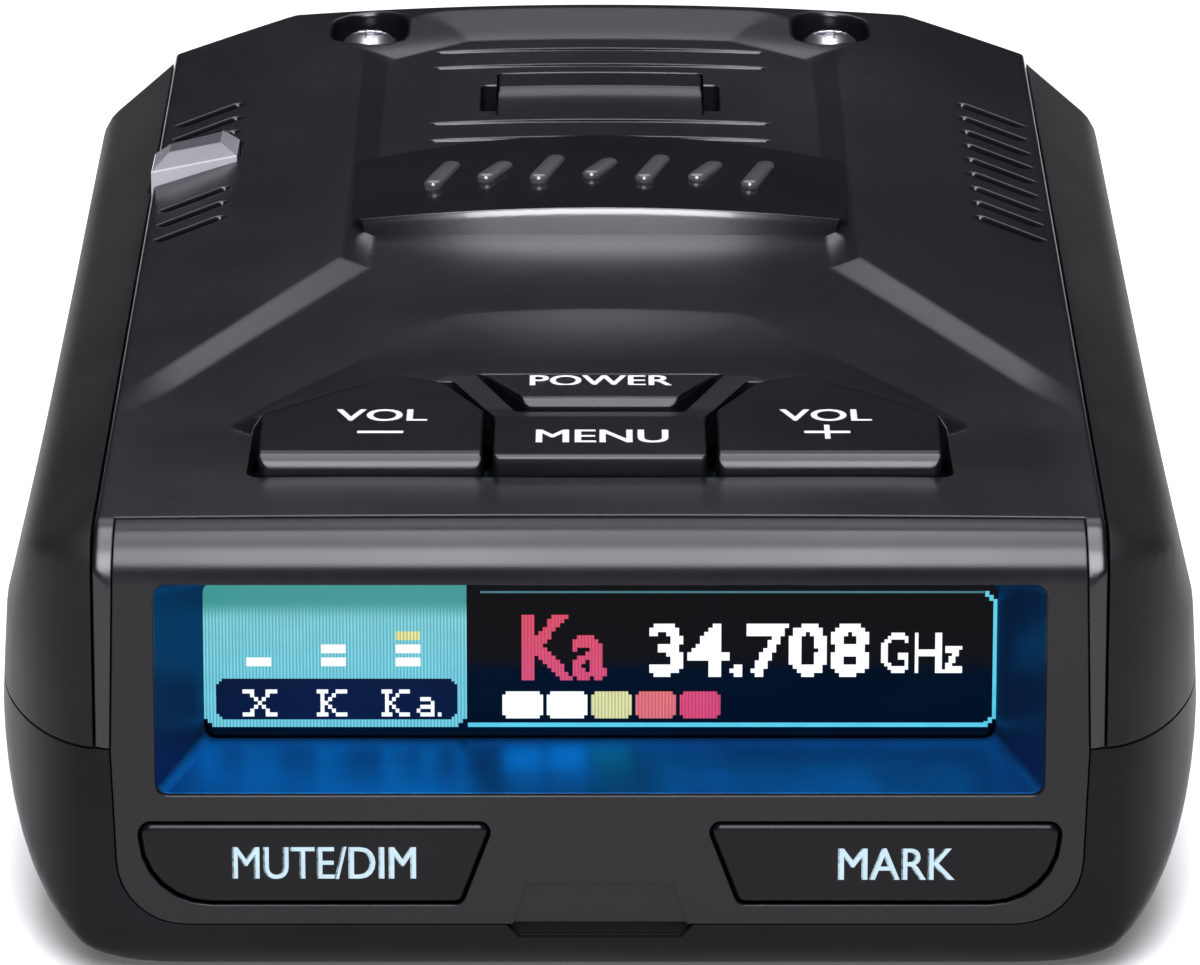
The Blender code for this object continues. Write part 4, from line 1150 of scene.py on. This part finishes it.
def release_button():
    (x0, y0, z0), (x1, y1, _) = extent("release_button")
    outline = grown(rectangle(x0, y0, x1, y1, 0.5, 4), 0.22)
    xs, ys = np.arange(x0 - 1, x1 + 1.1, 0.2), np.arange(y0 - 1, y1 + 1.1, 0.15)
    body = keep(field(xs, ys, button_top, 26), cushion(outline, button_top, 0.08, z0))
    return put(body, "release_cap", "case_plastic", "release_latch", ["release_button"])


def windscreen_end():
    outline = window_outline()
    pane = turned(outline, [(0, BACK - 2.3), (0, BACK - 0.5), (-0.06, BACK - 0.39), (-0.2, BACK - 0.35)], "Y")
    cut(pane, prism(rectangle(-6.3, 15.7, 6.3, 21.3, 0.6, 4), 50, 62, "Y"))
    put(pane, "antenna_pane", "smoked_window", stands_for=["antenna_window"])


def screw(node, name, up):
    """A pan head with a cross recess on its shank."""
    (x0, y0, z0), (x1, y1, z1) = extent(node)
    centre, radius = ((x0 + x1) / 2, (y0 + y1) / 2), (x1 - x0) / 2
    head = 1.3
    shank = drum(centre, min(radius * 0.5, 1.05), z0, z1, sides=24) if radius > 1.1 else None
    low, high = (z1 - head, z1) if up else (z0, z0 + head)
    margins = [(-0.02, 0.0), (0, 0.1), (0, 0.7), (-0.25 * radius, 1.1), (-0.55 * radius, head)]
    if up:
        profile = [(m, low + d) for m, d in margins]
    else:
        profile = [(m, high - d) for m, d in reversed(margins)]
    top = turned(circle(centre, radius, 32), profile)
    if shank:
        add(top, shank)
    face = (high - 0.6, high + 1) if up else (low - 1, low + 0.6)
    arm = radius * 0.62
    for dx, dy in ((arm, 0.17 * radius), (0.17 * radius, arm)):
        cut(top, block((centre[0] - dx, centre[1] - dy, face[0]), (centre[0] + dx, centre[1] + dy, face[1])))
    return put(top, name, "steel", stands_for=[node])


def cad_finishes():
    """Procedural finishes on the CAD nodes that stay in view inside the case."""
    slots = {}
    for entry in frame["record"].get("materials", []):
        for node in entry.get("nodes", []):
            slots[node] = entry["slot"]
    for node, obj in frame["nodes"].items():
        if obj.hide_render:
            continue
        given = slots.get(node)
        if given is None and obj.data.materials:
            given = obj.data.materials[0].name.split(".")[0]
        look = LOOKS["lens"] if node == "display_lens" else LOOKS.get(given, LOOKS["case_plastic"])
        obj.data.materials.clear()
        obj.data.materials.append(look)


# ---- the room

def floor():
    mesh = bpy.data.meshes.new("floor")
    reach = 6.0
    mesh.from_pydata([(x, y, 0) for x, y in rectangle(-reach, -reach, reach, reach)], [], [(0, 1, 2, 3)])
    obj = bpy.data.objects.new("floor", mesh)
    bpy.context.scene.collection.objects.link(obj)
    obj.location.z = -0.0002
    look, nodes, links, base = shader("floor")
    soft = noise(nodes, links, 3.0)
    links.new(blended(nodes, links, soft, (0.72, 0.72, 0.70), (0.75, 0.75, 0.73)), base.inputs["Base Color"])
    settings(base, Emission_Color=(1, 1, 1, 1), Emission_Strength=0.12, Roughness=0.9)
    mesh.materials.append(look)


def lamp(name, place, aim, width, height, watts):
    light = bpy.data.lights.new(name, "AREA")
    light.shape = "RECTANGLE"
    light.size, light.size_y = width, height
    light.energy = watts
    light.color = (0.945, 0.935, 1.0)
    obj = bpy.data.objects.new(name, light)
    obj.location = place
    obj.rotation_euler = (Vector(aim) - Vector(place)).to_track_quat("-Z", "Y").to_euler()
    bpy.context.scene.collection.objects.link(obj)


def room():
    floor()
    lamp("back_softbox", (0, 1.05, 0.92), (0, 0, 0), 0.6, 0.5, 1.7)
    lamp("top_softbox", (0, 0.05, 1.4), (0, 0, 0), 0.6, 1.43, 23.0)
    lamp("front_softbox", (0, -1.0, 0.97), (0, 0, 0), 0.6, 0.96, 35.0)
    world = bpy.data.worlds.new("room")
    world.use_nodes = True
    settings(world.node_tree.nodes["Background"], Color=(0.022, 0.0225, 0.028, 1), Strength=1.0)
    bpy.context.scene.world = world
    bpy.context.scene.view_settings.view_transform = "Standard"


def camera():
    data = bpy.data.cameras.new("photo")
    tilt = 16.19
    data.lens, data.sensor_width = 246.09, 36.0
    data.clip_start, data.clip_end = 0.01, 20.0
    obj = bpy.data.objects.new("photo", data)
    obj.location = (0, -0.5042, 0.1594)
    obj.rotation_euler = (math.radians(90 - tilt), 0, 0)
    bpy.context.scene.collection.objects.link(obj)
    bpy.context.scene.camera = obj


# ---- assembly

def object_pieces():
    points, faces = surface_net(form_distance, (-36, FRONT - 1.5, -1.0), (36, BACK + 1.5, 33.0), 0.6)
    form = mesh_object("form", settled(points, form_distance), faces)
    hollow = cavity()
    side_panel(form, hollow, 1)
    side_panel(form, hollow, -1)
    lower_case(form, hollow)
    front_bezel(form, hollow)
    bpy.data.objects.remove(form)
    top_cover(hollow)
    deck_key("volume_up", VOLUME_KEY, volume_top)
    deck_key("volume_down", mirrored(VOLUME_KEY), volume_top)
    deck_key("menu", MENU_KEY, menu_top, 0.12)
    deck_key("power", POWER_KEY, power_top, 0.04)
    front_key("mark", FRONT_KEY)
    front_key("mute_dim", mirrored(FRONT_KEY))
    shroud()
    display()
    legends()
    badge()
    prism_lens()
    release_button()
    windscreen_end()
    for i in range(4):
        screw(f"case_screw_{i + 1}", f"case_screw_head_{i + 1}", False)
    screw("left_top_screw", "left_top_screw_head", True)
    screw("right_top_screw", "right_top_screw_head", True)
    cad_finishes()


object_pieces()
room()
camera()
